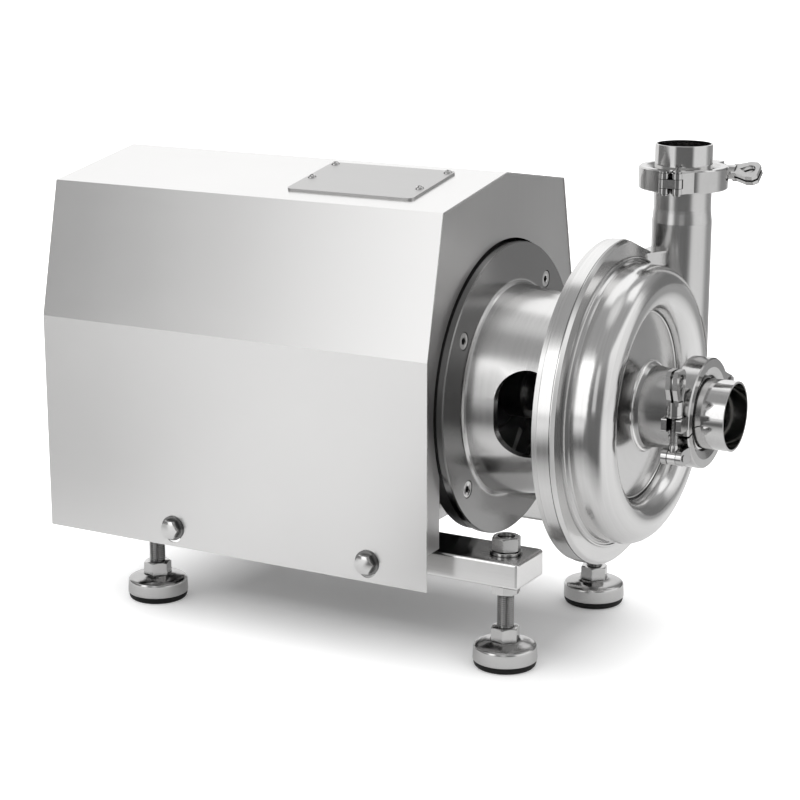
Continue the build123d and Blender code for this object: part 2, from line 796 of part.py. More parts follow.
# Adapter: flange, tapered drum with two windows, front wall and inner ribs
flange_front_x = motor_face_x + adapter_flange_t
adapter_front_x = drum_front_x + adapter_front_t
with BuildPart() as adapter:
    revolve(section([
        (motor_face_x, spigot_r + fit_gap),
        (motor_face_x, adapter_flange_r),
        (flange_front_x - 1, adapter_flange_r),
        (flange_front_x, adapter_flange_r - 1),
        (flange_front_x, drum_r_rear + 2.5),
        (flange_front_x + 1.5, drum_r_rear + 0.8),
        (flange_front_x + 3, drum_r_rear),
        (drum_front_x - 5, drum_r_front),
        (drum_front_x, drum_r_front + 3),
        (drum_front_x, adapter_front_r),
        (adapter_front_x, adapter_front_r),
        (adapter_front_x, boss_r + fit_gap),
        (drum_front_x, boss_r + fit_gap),
        (drum_front_x, drum_r_front - drum_wall),
        (motor_face_x + spigot_h, drum_r_rear - drum_wall),
        (motor_face_x + spigot_h, spigot_r + fit_gap),
    ]), axis=shaft_axis)
    for turn in rib_angles:
        rib_plane = Plane(
            origin=(flange_front_x, 0, axis_z),
            x_dir=(1, 0, 0),
            z_dir=(0, math.sin(math.radians(turn)), -math.cos(math.radians(turn))),
        )
        with BuildSketch(rib_plane.offset(-rib_t / 2)):
            with BuildLine():
                Polyline(
                    (0, rib_inner_r + 14),
                    (rib_front_x - flange_front_x, rib_inner_r + 4),
                    (rib_front_x - flange_front_x, drum_r_rear - drum_wall),
                    (0, drum_r_rear - drum_wall),
                    close=True,
                )
            make_face()
        extrude(amount=rib_t)
    with BuildSketch(Plane.XZ.offset(-2 * drum_r_rear)):
        with Locations((window_left_x + window_width / 2, axis_z)):
            SlotOverall(window_height, window_width, rotation=90)
    extrude(amount=4 * drum_r_rear, mode=Mode.SUBTRACT)
    with BuildSketch(Plane.YZ.offset(motor_face_x)):
        with Locations(*[radial_point(flange_screw_pcd_r, a) for a in flange_screw_angles]):
            Circle(bolt_shank_r + fit_gap)
    extrude(amount=adapter_flange_t, mode=Mode.SUBTRACT)
    with BuildSketch(Plane.YZ.offset(flange_front_x - sink_depth)):
        with Locations(*[radial_point(flange_screw_pcd_r, a) for a in flange_screw_angles]):
            Circle(flange_screw_r + sink_room)
    extrude(amount=5, mode=Mode.SUBTRACT)
save(adapter.part, "adapter")

with BuildPart() as flange_screws:
    with BuildSketch(Plane.YZ.offset(flange_front_x - sink_depth)):
        with Locations(*[radial_point(flange_screw_pcd_r, a) for a in flange_screw_angles]):
            Circle(flange_screw_r)
    extrude(amount=4)
    with BuildSketch(Plane.YZ.offset(flange_back_x)):
        with Locations(*[radial_point(flange_screw_pcd_r, a) for a in flange_screw_angles]):
            Circle(bolt_shank_r)
    extrude(amount=motor_flange_t + 4)
save(flange_screws.part, "adapter_screws")

# Pump shaft: clamp hub and sleeve over the motor shaft, then the impeller seat
hub_front_x = front_x + 138.0
impeller_rear_x = back_x + 12.0
sleeve_end_x = shaft_end_x + 6
with BuildPart() as pump_shaft:
    revolve(section([
        (motor_face_x + 8, motor_shaft_r),
        (motor_face_x + 8, coupling_r),
        (rib_front_x - 1, coupling_r),
        (rib_front_x, coupling_r - 1),
        (rib_front_x, sleeve_r),
        (sleeve_end_x, sleeve_r),
        (sleeve_end_x + 4, pump_shaft_r),
        (hub_front_x, pump_shaft_r),
        (hub_front_x, 8),
        (hub_front_x + 12, 8),
        (hub_front_x + 12, 0),
        (shaft_end_x, 0),
        (shaft_end_x, motor_shaft_r),
    ]), axis=shaft_axis)
save(pump_shaft.part, "pump_shaft")

# Back plate with its seal boss
boss_back_x = back_x - boss_depth
boss_hole_r = pump_shaft_r + 2.5
seat_x = boss_back_x + 4
seat_front_x = boss_back_x + 9.5
back_front_x = back_x + back_flange_t + back_spigot_t
groove_in_r = 129.5
groove_out_r = 133.5
groove_depth = 2.2
casing_screw_r = 2.5
casing_screw_pcd_r = 142.0
casing_screw_head_h = 2.5
casing_screw_taper = 42
casing_screw_grip = 9.0
casing_screw_angles = (12, 92, 131, 170, 209, 248, 287, 326)
casing_screw_head_r = 4.8
casing_screws_at = [radial_point(casing_screw_pcd_r, angle) for angle in casing_screw_angles]
flat_turn = math.radians(rim_flat_angle)
flat_plane = Plane(
    origin=(0, rim_flat_r * math.cos(flat_turn), axis_z + rim_flat_r * math.sin(flat_turn)),
    x_dir=(1, 0, 0),
    z_dir=(0, math.cos(flat_turn), math.sin(flat_turn)),
)
with BuildPart() as back_plate:
    revolve(section([
        (boss_back_x, boss_hole_r),
        (boss_back_x, boss_r - 2),
        (boss_back_x + 2, boss_r),
        (back_x, boss_r),
        (back_x, back_flange_r),
        (back_x + back_flange_t, back_flange_r),
        (back_x + back_flange_t, back_spigot_r),
        (back_front_x, back_spigot_r),
        (back_front_x, groove_out_r),
        (back_front_x - groove_depth, groove_out_r),
        (back_front_x - groove_depth, groove_in_r),
        (back_front_x, groove_in_r),
        (back_front_x, boss_bore_r),
        (seat_front_x - 1.5, boss_bore_r),
        (seat_front_x - 1.5, seal_seat_r),
        (seat_x, seal_seat_r),
        (seat_x, boss_hole_r),
    ]), axis=shaft_axis)
    with BuildSketch(Plane.YZ.offset(back_x)):
        with Locations(*casing_screws_at):
            Circle(casing_screw_head_r)
    extrude(amount=casing_screw_head_h, taper=casing_screw_taper, mode=Mode.SUBTRACT)
    with BuildSketch(Plane.YZ.offset(back_x)):
        with Locations(*casing_screws_at):
            Circle(casing_screw_r + fit_gap)
    extrude(amount=back_flange_t, mode=Mode.SUBTRACT)
    with BuildSketch(flat_plane):
        Rectangle(4 * back_x, 2 * rim_r)
    extrude(amount=rim_r - rim_flat_r + 1, mode=Mode.SUBTRACT)
save(back_plate.part, "back_plate")

with BuildPart() as casing_screws:
    with BuildSketch(Plane.YZ.offset(back_x)):
        with Locations(*casing_screws_at):
            Circle(casing_screw_head_r)
    extrude(amount=casing_screw_head_h, taper=casing_screw_taper)
    with BuildSketch(Plane.YZ.offset(back_x + 1)):
        with Locations(*casing_screws_at):
            Circle(casing_screw_r)
    extrude(amount=back_flange_t - 1 + casing_screw_grip)
save(casing_screws.part, "casing_screws")

with BuildPart() as casing_gasket:
    with BuildSketch(Plane.YZ.offset(back_front_x - groove_depth)):
        with Locations((0, axis_z)):
            Circle(groove_out_r)
            Circle(groove_in_r, mode=Mode.SUBTRACT)
    extrude(amount=groove_depth)
save(casing_gasket.part, "casing_gasket")

with BuildPart() as seal_seat:
    with BuildSketch(Plane.YZ.offset(seat_x)):
        with Locations((0, axis_z)):
            Circle(seal_seat_r)
            Circle(pump_shaft_r + 1.2, mode=Mode.SUBTRACT)
    extrude(amount=seat_front_x - seat_x)
save(seal_seat.part, "seal_seat")

bellows_start = seat_front_x + 6
bellows_pitch = (impeller_rear_x - bellows_start) / 3
bellows = [(seat_front_x, pump_shaft_r), (seat_front_x, seal_face_r), (bellows_start, seal_face_r)]
for fold in range(3):
    bellows.append((bellows_start + fold * bellows_pitch, seal_face_r - 3))
    bellows.append((bellows_start + (fold + 0.5) * bellows_pitch, seal_face_r - 0.5))
bellows += [(impeller_rear_x, seal_face_r - 3), (impeller_rear_x, pump_shaft_r)]
with BuildPart() as seal_rotating:
    revolve(section(bellows), axis=shaft_axis)
save(seal_rotating.part, "seal_rotating")

# Impeller: backward-curved vanes trimmed to the casing front, on a disc and hub
disc_front_x = impeller_rear_x + impeller_disc_t
vane_tip_x = volute_mid_x - casing_wall - 2.0
vane_eye_x = neck_x - casing_wall - 2.5
vane_arc_r = 62.0
vane_centre = 47.0
with BuildPart() as impeller:
    vane_plane = Plane.YZ.offset(disc_front_x - 1)
    for turn in range(vane_count):
        angle = math.radians(360 / vane_count * turn)
        centre = (vane_centre * math.cos(angle), axis_z + vane_centre * math.sin(angle))
        with BuildSketch(vane_plane):
            with Locations(centre):
                Circle(vane_arc_r)
                Circle(vane_arc_r - vane_t, mode=Mode.SUBTRACT)
            with BuildLine(mode=Mode.PRIVATE) as wedge:
                reach = 3 * impeller_r
                Polyline(
                    (0, axis_z),
                    (reach * math.cos(angle + 0.1), axis_z + reach * math.sin(angle + 0.1)),
                    (reach * math.cos(angle + 1.6), axis_z + reach * math.sin(angle + 1.6)),
                    (reach * math.cos(angle + 2.9), axis_z + reach * math.sin(angle + 2.9)),
                    close=True,
                )
            make_face(wedge.line, mode=Mode.INTERSECT)
            with Locations((0, axis_z)):
                Circle(impeller_r, mode=Mode.INTERSECT)
        extrude(amount=vane_eye_x - disc_front_x + 1)
    revolve(section([
        (disc_front_x - 1, impeller_hub_r - 4),
        (disc_front_x - 1, impeller_r),
        (vane_tip_x, impeller_r),
        (vane_eye_x, neck_r),
        (hub_front_x - 6, impeller_hub_r),
        (hub_front_x - 6, impeller_hub_r - 4),
    ]), axis=shaft_axis, mode=Mode.INTERSECT)
    revolve(section([
        (impeller_rear_x, pump_shaft_r),
        (impeller_rear_x, impeller_r),
        (disc_front_x, impeller_r),
        (disc_front_x + 1.5, impeller_hub_r + 8),
        (hub_front_x - 6, impeller_hub_r),
        (hub_front_x, impeller_hub_r - 3),
        (hub_front_x, pump_shaft_r),
    ]), axis=shaft_axis)
save(impeller.part, "impeller")

with BuildPart() as impeller_nut:
    revolve(section([
        (hub_front_x, 8),
        (hub_front_x, 15),
        (hub_front_x + 9, 15),
        (hub_front_x + 15, 10),
        (hub_front_x + 17, 0),
        (hub_front_x + 12, 0),
        (hub_front_x + 12, 8),
    ]), axis=shaft_axis)
save(impeller_nut.part, "impeller_nut")

# Casing: heavy rim, pressed ring-shaped volute, dished front, neck and ferrule
rim_back_x = back_x + back_flange_t
rim_front_x = rim_back_x + rim_t
mark_x = rim_front_x - rim_chamfer - 1.4
mark_w = 0.8
mark_depth = 0.5
volute_outer_r = volute_mid_r + volute_tube_r
volute_inner_arc_r = volute_tube_r - casing_wall
neck_end_x = suction_joint_x - neck_to_joint
rim_face_x = suction_joint_x - gasket_half
rim_side_x = rim_face_x - ferrule_rim_t
cone_end_x = rim_side_x - (suction_rim_r - suction_tube_r) * ferrule_slope
suction_bore_r = suction_tube_r - tube_wall
valley_turn = math.radians(4)
valley_x = volute_mid_x - volute_tube_r * math.sin(valley_turn)
valley_r = volute_mid_r - volute_tube_r * math.cos(valley_turn)
weld_r = neck_r + 2.2


def volute_section():
    """Section through the casing wall, from the rim to the suction ferrule."""
    outer = [
        (rim_back_x, back_spigot_r + fit_gap),
        (rim_back_x, rim_r - 0.6),
        (rim_back_x + 0.6, rim_r),
        (mark_x, rim_r),
        (mark_x, rim_r - mark_depth),
        (mark_x + mark_w, rim_r - mark_depth),
        (mark_x + mark_w, rim_r),
        (rim_front_x - rim_chamfer, rim_r),
        (rim_front_x, rim_r - rim_chamfer),
        (rim_front_x, bead_r),
        (rim_front_x + bead_h, bead_r - 0.4),
        (rim_front_x + bead_h, bead_r - bead_w + 0.4),
        (rim_front_x + bead_h / 2, bead_r - bead_w),
        (rim_front_x + bead_h, volute_outer_r + 1.6),
        (rim_front_x + bead_h + 2, volute_outer_r + 0.3),
        (rim_front_x + bead_h + 4, volute_outer_r),
        (volute_mid_x, volute_outer_r),
    ]
    dish = [
        (valley_x, valley_r),
        (neck_x - 0.5, weld_r + 1.6),
        (neck_x + 0.8, weld_r + 0.4),
        (neck_x + 2.2, neck_r + 0.8),
        (neck_x + 5, neck_r - 0.8),
        (neck_end_x, suction_tube_r),
        (cone_end_x, suction_tube_r),
        (rim_side_x, suction_rim_r),
        (rim_face_x, suction_rim_r),
        (rim_face_x, suction_bore_r),
        (neck_end_x, suction_bore_r),
        (neck_x + 3, neck_r - 3),
        (neck_x - casing_wall, neck_r - 0.5),
        (valley_x - casing_wall, valley_r + 0.5),
        (volute_mid_x, valley_r + casing_wall),
    ]
    inner = [
        (volute_mid_x, volute_outer_r - casing_wall),
        (back_front_x, volute_outer_r - casing_wall),
        (back_front_x, back_spigot_r + fit_gap),
        (rim_back_x, back_spigot_r + fit_gap),
    ]
    with BuildSketch(Plane.XZ) as flat:
        with BuildLine():
            Polyline(*[(x, axis_z + r) for x, r in outer])
            ThreePointArc(
                (volute_mid_x, axis_z + volute_outer_r),
                (volute_mid_x + volute_tube_r, axis_z + volute_mid_r),
                (valley_x, axis_z + valley_r),
            )
            Polyline(*[(x, axis_z + r) for x, r in dish])
            ThreePointArc(
                (volute_mid_x, axis_z + valley_r + casing_wall),
                (volute_mid_x + volute_inner_arc_r, axis_z + volute_mid_r + 0.02),
                (volute_mid_x, axis_z + volute_outer_r - casing_wall),
            )
            Polyline(*[(x, axis_z + r) for x, r in inner])
        make_face()
    return flat.sketch


def cavity_section():
    """Section through the hollow behind the casing wall, down to the shaft line."""
    with BuildSketch(Plane.XZ) as flat:
        with BuildLine():
            Polyline(*[(x, axis_z + r) for x, r in (
                (volute_mid_x, volute_outer_r - casing_wall),
                (back_front_x, volute_outer_r - casing_wall),
                (back_front_x, back_spigot_r + fit_gap),
                (back_front_x - back_spigot_t, back_spigot_r + fit_gap),
                (back_front_x - back_spigot_t, 0),
                (valley_x - casing_wall, 0),
                (valley_x - casing_wall, valley_r + 0.5),
                (volute_mid_x, valley_r + casing_wall),
            )])
            ThreePointArc(
                (volute_mid_x, axis_z + valley_r + casing_wall),
                (volute_mid_x + volute_inner_arc_r, axis_z + volute_mid_r + 0.02),
                (volute_mid_x, axis_z + volute_outer_r - casing_wall),
            )
        make_face()
    return flat.sketch


outlet_face_z = discharge_joint_z - gasket_half
outlet_side_z = outlet_face_z - ferrule_rim_t
outlet_cone_z = outlet_side_z - (outlet_rim_r - outlet_tube_r) * ferrule_slope
outlet_axis = Axis((discharge_x, discharge_y, 0), (0, 0, 1))
outlet_bore_r = discharge_tube_r - outlet_wall
passage_full_z = axis_z + rim_flat_r - 30
lug_tip_x = discharge_x - 2.0
lug_depth = 12.0
lug_seam_r = 0.9
lug_plan = [
    (back_front_x, lug_y + 12),
    (rim_front_x, lug_y),
    (lug_tip_x, discharge_y - discharge_tube_r),
    (discharge_x, discharge_y),
    (back_front_x, discharge_y),
]
with BuildPart() as passage:
    with BuildSketch(Plane.XY.offset(axis_z)):
        with Locations((discharge_x, discharge_y)):
            Circle(outlet_bore_r)
    extrude(amount=swage_bottom_z - axis_z)
    with BuildSketch(Plane.YZ.offset(discharge_x - 2 * discharge_tube_r)):
        with Locations((discharge_y, (axis_z + passage_full_z) / 2)):
            Rectangle(3 * discharge_tube_r, passage_full_z - axis_z + 2)
    extrude(amount=back_front_x + 1 - discharge_x + 2 * discharge_tube_r, mode=Mode.SUBTRACT)
    revolve(section([
        (rim_front_x, 0),
        (rim_front_x, outlet_trim_r + casing_wall),
        (discharge_x + 2 * discharge_tube_r, outlet_trim_r + casing_wall),
        (discharge_x + 2 * discharge_tube_r, 0),
    ]), axis=shaft_axis, mode=Mode.SUBTRACT)
    revolve(upright(discharge_x, discharge_y, [
        (0, swage_bottom_z - 1),
        (outlet_bore_r, swage_bottom_z - 1),
        (outlet_tube_r - tube_wall, swage_top_z),
        (outlet_tube_r - tube_wall, outlet_face_z),
        (0, outlet_face_z),
    ]), axis=outlet_axis)

with BuildPart() as outlet:
    with BuildSketch(Plane.XY.offset(axis_z)):
        with Locations((discharge_x, discharge_y)):
            Circle(discharge_tube_r)
    extrude(amount=swage_bottom_z - axis_z)
    revolve(section([
        (rim_front_x - 1, 0),
        (rim_front_x - 1, outlet_trim_r),
        (discharge_x + 2 * discharge_tube_r, outlet_trim_r),
        (discharge_x + 2 * discharge_tube_r, 0),
    ]), axis=shaft_axis, mode=Mode.SUBTRACT)
    revolve(upright(discharge_x, discharge_y, [
        (0, swage_bottom_z - 1),
        (discharge_tube_r, swage_bottom_z - 1),
        (discharge_tube_r, swage_bottom_z),
        (discharge_tube_r - 0.3, swage_bottom_z + 3),
        (outlet_tube_r + 0.2, swage_top_z - 3),
        (outlet_tube_r, swage_top_z),
        (outlet_tube_r, outlet_cone_z),
        (outlet_rim_r, outlet_side_z),
        (outlet_rim_r, outlet_face_z),
        (0, outlet_face_z),
    ]), axis=outlet_axis)
    with BuildSketch(Plane.XY.offset(lug_top_z - lug_plate_t)):
        with BuildLine():
            Polyline(*lug_plan, close=True)
        make_face()
    extrude(amount=lug_plate_t)
    with BuildSketch(Plane.XY.offset(lug_top_z - lug_plate_t - lug_depth)):
        with BuildLine():
            Polyline(*lug_plan, close=True)
        make_face()
        offset(amount=-lug_wall_inset, kind=Kind.INTERSECTION, mode=Mode.REPLACE)
    extrude(amount=lug_depth)
    with BuildSketch(Plane.XY.offset(lug_top_z - lug_plate_t - lug_depth)):
        with Locations((rim_front_x, lug_y)):
            Circle(lug_seam_r)
    extrude(amount=lug_depth + lug_plate_t)
    revolve(cavity_section(), axis=shaft_axis, mode=Mode.SUBTRACT)

with BuildPart() as shell:
    revolve(volute_section(), axis=shaft_axis)
    with BuildSketch(flat_plane):
        Rectangle(4 * rim_front_x, 2 * rim_r)
    extrude(amount=rim_r - rim_flat_r + 1, mode=Mode.SUBTRACT)

with BuildPart() as outlet_trimmed:
    add(outlet.part)
    add(shell.part, mode=Mode.SUBTRACT)
    add(passage.part, mode=Mode.SUBTRACT)

with BuildPart() as outlet_pipe:
    add(outlet_trimmed.part.solids().sort_by(SortBy.VOLUME)[-1])
save(outlet_pipe.part, "outlet_pipe")

with BuildPart() as casing:
    add(shell.part)
    add(passage.part, mode=Mode.SUBTRACT)
    with BuildSketch(Plane.YZ.offset(rim_back_x)):
        with Locations(*casing_screws_at):
            Circle(casing_screw_r + fit_gap)
    extrude(amount=casing_screw_grip + 0.5, mode=Mode.SUBTRACT)
save(casing.part, "casing")

# Hinged clamps on both ports. Each has its own frame: z runs along the port into the pump,
# x points to the swing bolt, and y runs up the bolt, from the fixed jaw to the moving jaw.


def on(clamp, plane):
    """A plane given in a clamp's frame, as a plane of the whole pump."""
    return Plane(clamp * plane)


def ferrule_side(rim_radius, radius, play):
    """Height of a ferrule's sloping side above the joint, at a radius."""
    return gasket_half + ferrule_rim_t + (rim_radius - radius) * ferrule_slope + play


def wedge_points(start, end):
    """A wide wedge between two angles, from the port's axis outwards."""
    reach = 200.0
    turns = [start + (end - start) * step / 4 for step in range(5)]
    return [(0, 0)] + [
        (reach * math.cos(math.radians(turn)), reach * math.sin(math.radians(turn))) for turn in turns
    ]


def jaw_section(clamp, rim_radius, jaw_r, half_w, face_r, lip_r, lip_z):
    """Section through a jaw's ring: flat sides, slanted lips and the groove for the ferrules."""
    groove_r = rim_radius + groove_room
    groove_side = ferrule_side(rim_radius, groove_r, groove_play)
    lip_side = ferrule_side(rim_radius, lip_r, groove_play)
    upper = [
        (groove_r, groove_side),
        (lip_r, lip_side),
        (lip_r, lip_z),
        (face_r, half_w),
        (jaw_r - jaw_chamfer, half_w),
        (jaw_r, half_w - jaw_chamfer),
    ]
    lower = [(r, -z) for r, z in reversed(upper)]
    with BuildSketch(on(clamp, Plane.XZ)) as flat:
        with BuildLine():
            Polyline(*upper, *lower, close=True)
        make_face()
    return flat.sketch


def clamp_pieces(
    name, clamp, rim_radius, tube_r, stub_end, jaw_r, half_w, face_r, lip_r, lip_z,
    bolt_x, eye_y, seat_y, bolt_cut, hinge_cut, hinge_r, pin_half, nut_reach, nut_turn,
):
    port_axis = Axis(clamp.origin, clamp.z_dir)
    hinge_turn = math.radians(hinge_cut)
    hinge_x = hinge_r * math.cos(hinge_turn)
    hinge_y = hinge_r * math.sin(hinge_turn)
    along_x = -pin_half * math.sin(hinge_turn)
    along_y = pin_half * math.cos(hinge_turn)
    fixed_pin = (hinge_x + along_x, hinge_y + along_y)
    moving_pin = (hinge_x - along_x, hinge_y - along_y)
    cut_half = math.degrees(cut_gap / 2 / jaw_r)
    seat_r = seat_y - eye_y
    link_r = clamp_pin_r + link_wall

    # Stub tube with its ferrule, outside the joint
    with BuildPart() as stub:
        with BuildSketch(on(clamp, Plane.XZ)):
            with BuildLine():
                Polyline(
                    (tube_r - tube_wall, -gasket_half),
                    (rim_radius, -gasket_half),
                    (rim_radius, -gasket_half - ferrule_rim_t),
                    (tube_r, -ferrule_side(rim_radius, tube_r, 0)),
                    (tube_r, -stub_end),
                    (tube_r - tube_wall, -stub_end),
                    close=True,
                )
            make_face()
        revolve(axis=port_axis)
    save(stub.part, name + "_stub")

    with BuildPart() as gasket:
        with BuildSketch(on(clamp, Plane.XY.offset(-gasket_half))):
            Circle(rim_radius - gasket_inset)
            Circle(tube_r - tube_wall, mode=Mode.SUBTRACT)
        extrude(amount=2 * gasket_half)
    save(gasket.part, name + "_gasket")

    # Fixed jaw, with the eye's fork and pin and the hinge's fork
    with BuildPart() as fixed_jaw:
        revolve(jaw_section(clamp, rim_radius, jaw_r, half_w, face_r, lip_r, lip_z), axis=port_axis)
        with BuildSketch(on(clamp, Plane.XY.offset(-2 * half_w))):
            with BuildLine():
                Polyline(*wedge_points(hinge_cut + cut_half, 360 + bolt_cut - cut_half), close=True)
            make_face()
        extrude(amount=4 * half_w, mode=Mode.INTERSECT)
        with BuildSketch(on(clamp, Plane.XY.offset(-prong_reach))):
            with Locations((bolt_x, eye_y)):
                Circle(eye_r + prong_wall)
            with Locations(((bolt_x + jaw_r - block_reach) / 2, eye_y)):
                Rectangle(bolt_x - jaw_r + block_reach, 2 * (eye_r + prong_wall))
            with Locations(fixed_pin):
                Circle(link_r)
            with BuildLine():
                Polyline(
                    (fixed_pin[0] - 0.2 * link_r, fixed_pin[1] - link_r * 0.97),
                    (hinge_x * 0.72, fixed_pin[1] - 2.2 * link_r),
                    (hinge_x * 0.78, fixed_pin[1] + 0.2 * link_r),
                    (fixed_pin[0], fixed_pin[1] + 0.6 * link_r),
                    close=True,
                )
            make_face()
            Circle(face_r, mode=Mode.SUBTRACT)
        extrude(amount=2 * prong_reach)
        with BuildSketch(on(clamp, Plane.XY.offset(-prong_gap))):
            with Locations((bolt_x, eye_y)):
                Circle(eye_r + eye_room)
            with Locations((bolt_x + 2 * eye_r - clamp_bolt_r - knuckle_room, eye_y)):
                Rectangle(4 * eye_r, 4 * eye_r)
            with Locations(fixed_pin):
                Circle(link_r + knuckle_room)
            with Locations(moving_pin):
                Circle(link_r + knuckle_room)
            with BuildLine():
                Polyline(
                    (fixed_pin[0] + link_r + knuckle_room, fixed_pin[1]),
                    (moving_pin[0] + link_r + knuckle_room, moving_pin[1]),
                    (moving_pin[0] - 2 * link_r, moving_pin[1]),
                    (fixed_pin[0] - 2 * link_r, fixed_pin[1]),
                    close=True,
                )
            make_face()
        extrude(amount=2 * prong_gap, mode=Mode.SUBTRACT)
        with BuildSketch(on(clamp, Plane.XY.offset(-prong_reach))):
            with Locations(fixed_pin):
                Circle(clamp_pin_r + fit_gap)
        extrude(amount=2 * prong_reach, mode=Mode.SUBTRACT)
        with BuildSketch(on(clamp, Plane.XY.offset(-prong_reach - eye_pin_reach))):
            with Locations((bolt_x, eye_y)):
                Circle(clamp_pin_r)
        extrude(amount=2 * (prong_reach + eye_pin_reach))
    save(fixed_jaw.part, name + "_jaw_fixed")

    # Moving jaw, with the open slot and rounded seat for the swing bolt
    with BuildPart() as moving_jaw:
        revolve(jaw_section(clamp, rim_radius, jaw_r, half_w, face_r, lip_r, lip_z), axis=port_axis)
        with BuildSketch(on(clamp, Plane.XY.offset(-2 * half_w))):
            with BuildLine():
                Polyline(*wedge_points(bolt_cut + cut_half, hinge_cut - cut_half), close=True)
            make_face()
        extrude(amount=4 * half_w, mode=Mode.INTERSECT)
        with BuildSketch(on(clamp, Plane.XY.offset(-prong_reach))):
            with Locations(((bolt_x + block_reach + face_r) / 2, seat_y - block_depth / 2)):
                RectangleRounded(bolt_x + block_reach - face_r, block_depth, block_round)
            with Locations((bolt_x, eye_y)):
                Circle(seat_r - free_gap, mode=Mode.INTERSECT)
            Circle(face_r, mode=Mode.SUBTRACT)
        extrude(amount=2 * prong_reach)
        with BuildSketch(on(clamp, Plane.XY.offset(-prong_reach))):
            with Locations(moving_pin):
                Circle(link_r)
            with BuildLine():
                Polyline(
                    (moving_pin[0] - 0.2 * link_r, moving_pin[1] + link_r * 0.97),
                    (hinge_x * 0.66, moving_pin[1] + 2.4 * link_r),
                    (hinge_x * 0.72, moving_pin[1] + 0.4 * link_r),
                    (moving_pin[0], moving_pin[1] - 0.6 * link_r),
                    close=True,
                )
            make_face()
            Circle(face_r, mode=Mode.SUBTRACT)
        extrude(amount=2 * prong_reach)
        with BuildSketch(on(clamp, Plane.XY.offset(-prong_gap))):
            with Locations((bolt_x + 2 * eye_r - clamp_bolt_r - slot_room, seat_y)):
                Rectangle(4 * eye_r, 8 * eye_r)
            with Locations(fixed_pin):
                Circle(link_r + knuckle_room)
            with Locations(moving_pin):
                Circle(link_r + knuckle_room)
            with BuildLine():
                Polyline(
                    (fixed_pin[0] + link_r + knuckle_room, fixed_pin[1]),
                    (moving_pin[0] + link_r + knuckle_room, moving_pin[1]),
                    (moving_pin[0] - 2 * link_r, moving_pin[1]),
                    (fixed_pin[0] - 2 * link_r, fixed_pin[1]),
                    close=True,
                )
            make_face()
        extrude(amount=2 * prong_gap, mode=Mode.SUBTRACT)
        with BuildSketch(on(clamp, Plane.XY.offset(-prong_reach))):
            with Locations(moving_pin):
                Circle(clamp_pin_r + fit_gap)
        extrude(amount=2 * prong_reach, mode=Mode.SUBTRACT)
    save(moving_jaw.part, name + "_jaw_moving")

    # Link between the jaws, with its two headed pins
    with BuildPart() as link:
        with BuildSketch(on(clamp, Plane.XY.offset(-link_half_w))):
            with Locations(fixed_pin, moving_pin):
                Circle(link_r)
            with BuildLine():
                Polyline(
                    (fixed_pin[0] - link_r, fixed_pin[1]),
                    (fixed_pin[0] + link_r, fixed_pin[1]),
                    (moving_pin[0] + link_r, moving_pin[1]),
                    (moving_pin[0] - link_r, moving_pin[1]),
                    close=True,
                )
            make_face()
        extrude(amount=2 * link_half_w)
        with BuildSketch(on(clamp, Plane.XY.offset(-prong_reach - eye_pin_reach))):
            with Locations(fixed_pin, moving_pin):
                Circle(clamp_pin_r)
        extrude(amount=2 * (prong_reach + eye_pin_reach))
        for height in (-prong_reach - pin_head_h, prong_reach):
            with BuildSketch(on(clamp, Plane.XY.offset(height))):
                with Locations(fixed_pin, moving_pin):
                    Circle(clamp_pin_r + pin_head_lip)
            extrude(amount=pin_head_h)
    save(link.part, name + "_link")

    # Swing bolt: eye round the pin, and the shank up into the nut
    shank_end_y = seat_y + clamp_washer_t + collar_h - shank_inset
    with BuildPart() as swing_bolt:
        with BuildSketch(on(clamp, Plane.XZ.offset(-shank_end_y))):
            with Locations((bolt_x, 0)):
                Circle(clamp_bolt_r)
        extrude(amount=shank_end_y - eye_y)
        with BuildSketch(on(clamp, Plane.XY.offset(-eye_half_w))):
            with Locations((bolt_x, eye_y)):
                Circle(eye_r)
        extrude(amount=2 * eye_half_w)
        with BuildSketch(on(clamp, Plane.XY.offset(-eye_half_w))):
            with Locations((bolt_x, eye_y)):
                Circle(clamp_pin_r + fit_gap)
        extrude(amount=2 * eye_half_w, mode=Mode.SUBTRACT)
    save(swing_bolt.part, name + "_swing_bolt")

    with BuildPart() as washer:
        with BuildSketch(on(clamp, Plane.XZ.offset(-seat_y))):
            with Locations((bolt_x, 0)):
                Circle(clamp_washer_r)
                Circle(clamp_bolt_r + fit_gap, mode=Mode.SUBTRACT)
        extrude(amount=-clamp_washer_t)
    save(washer.part, name + "_washer")

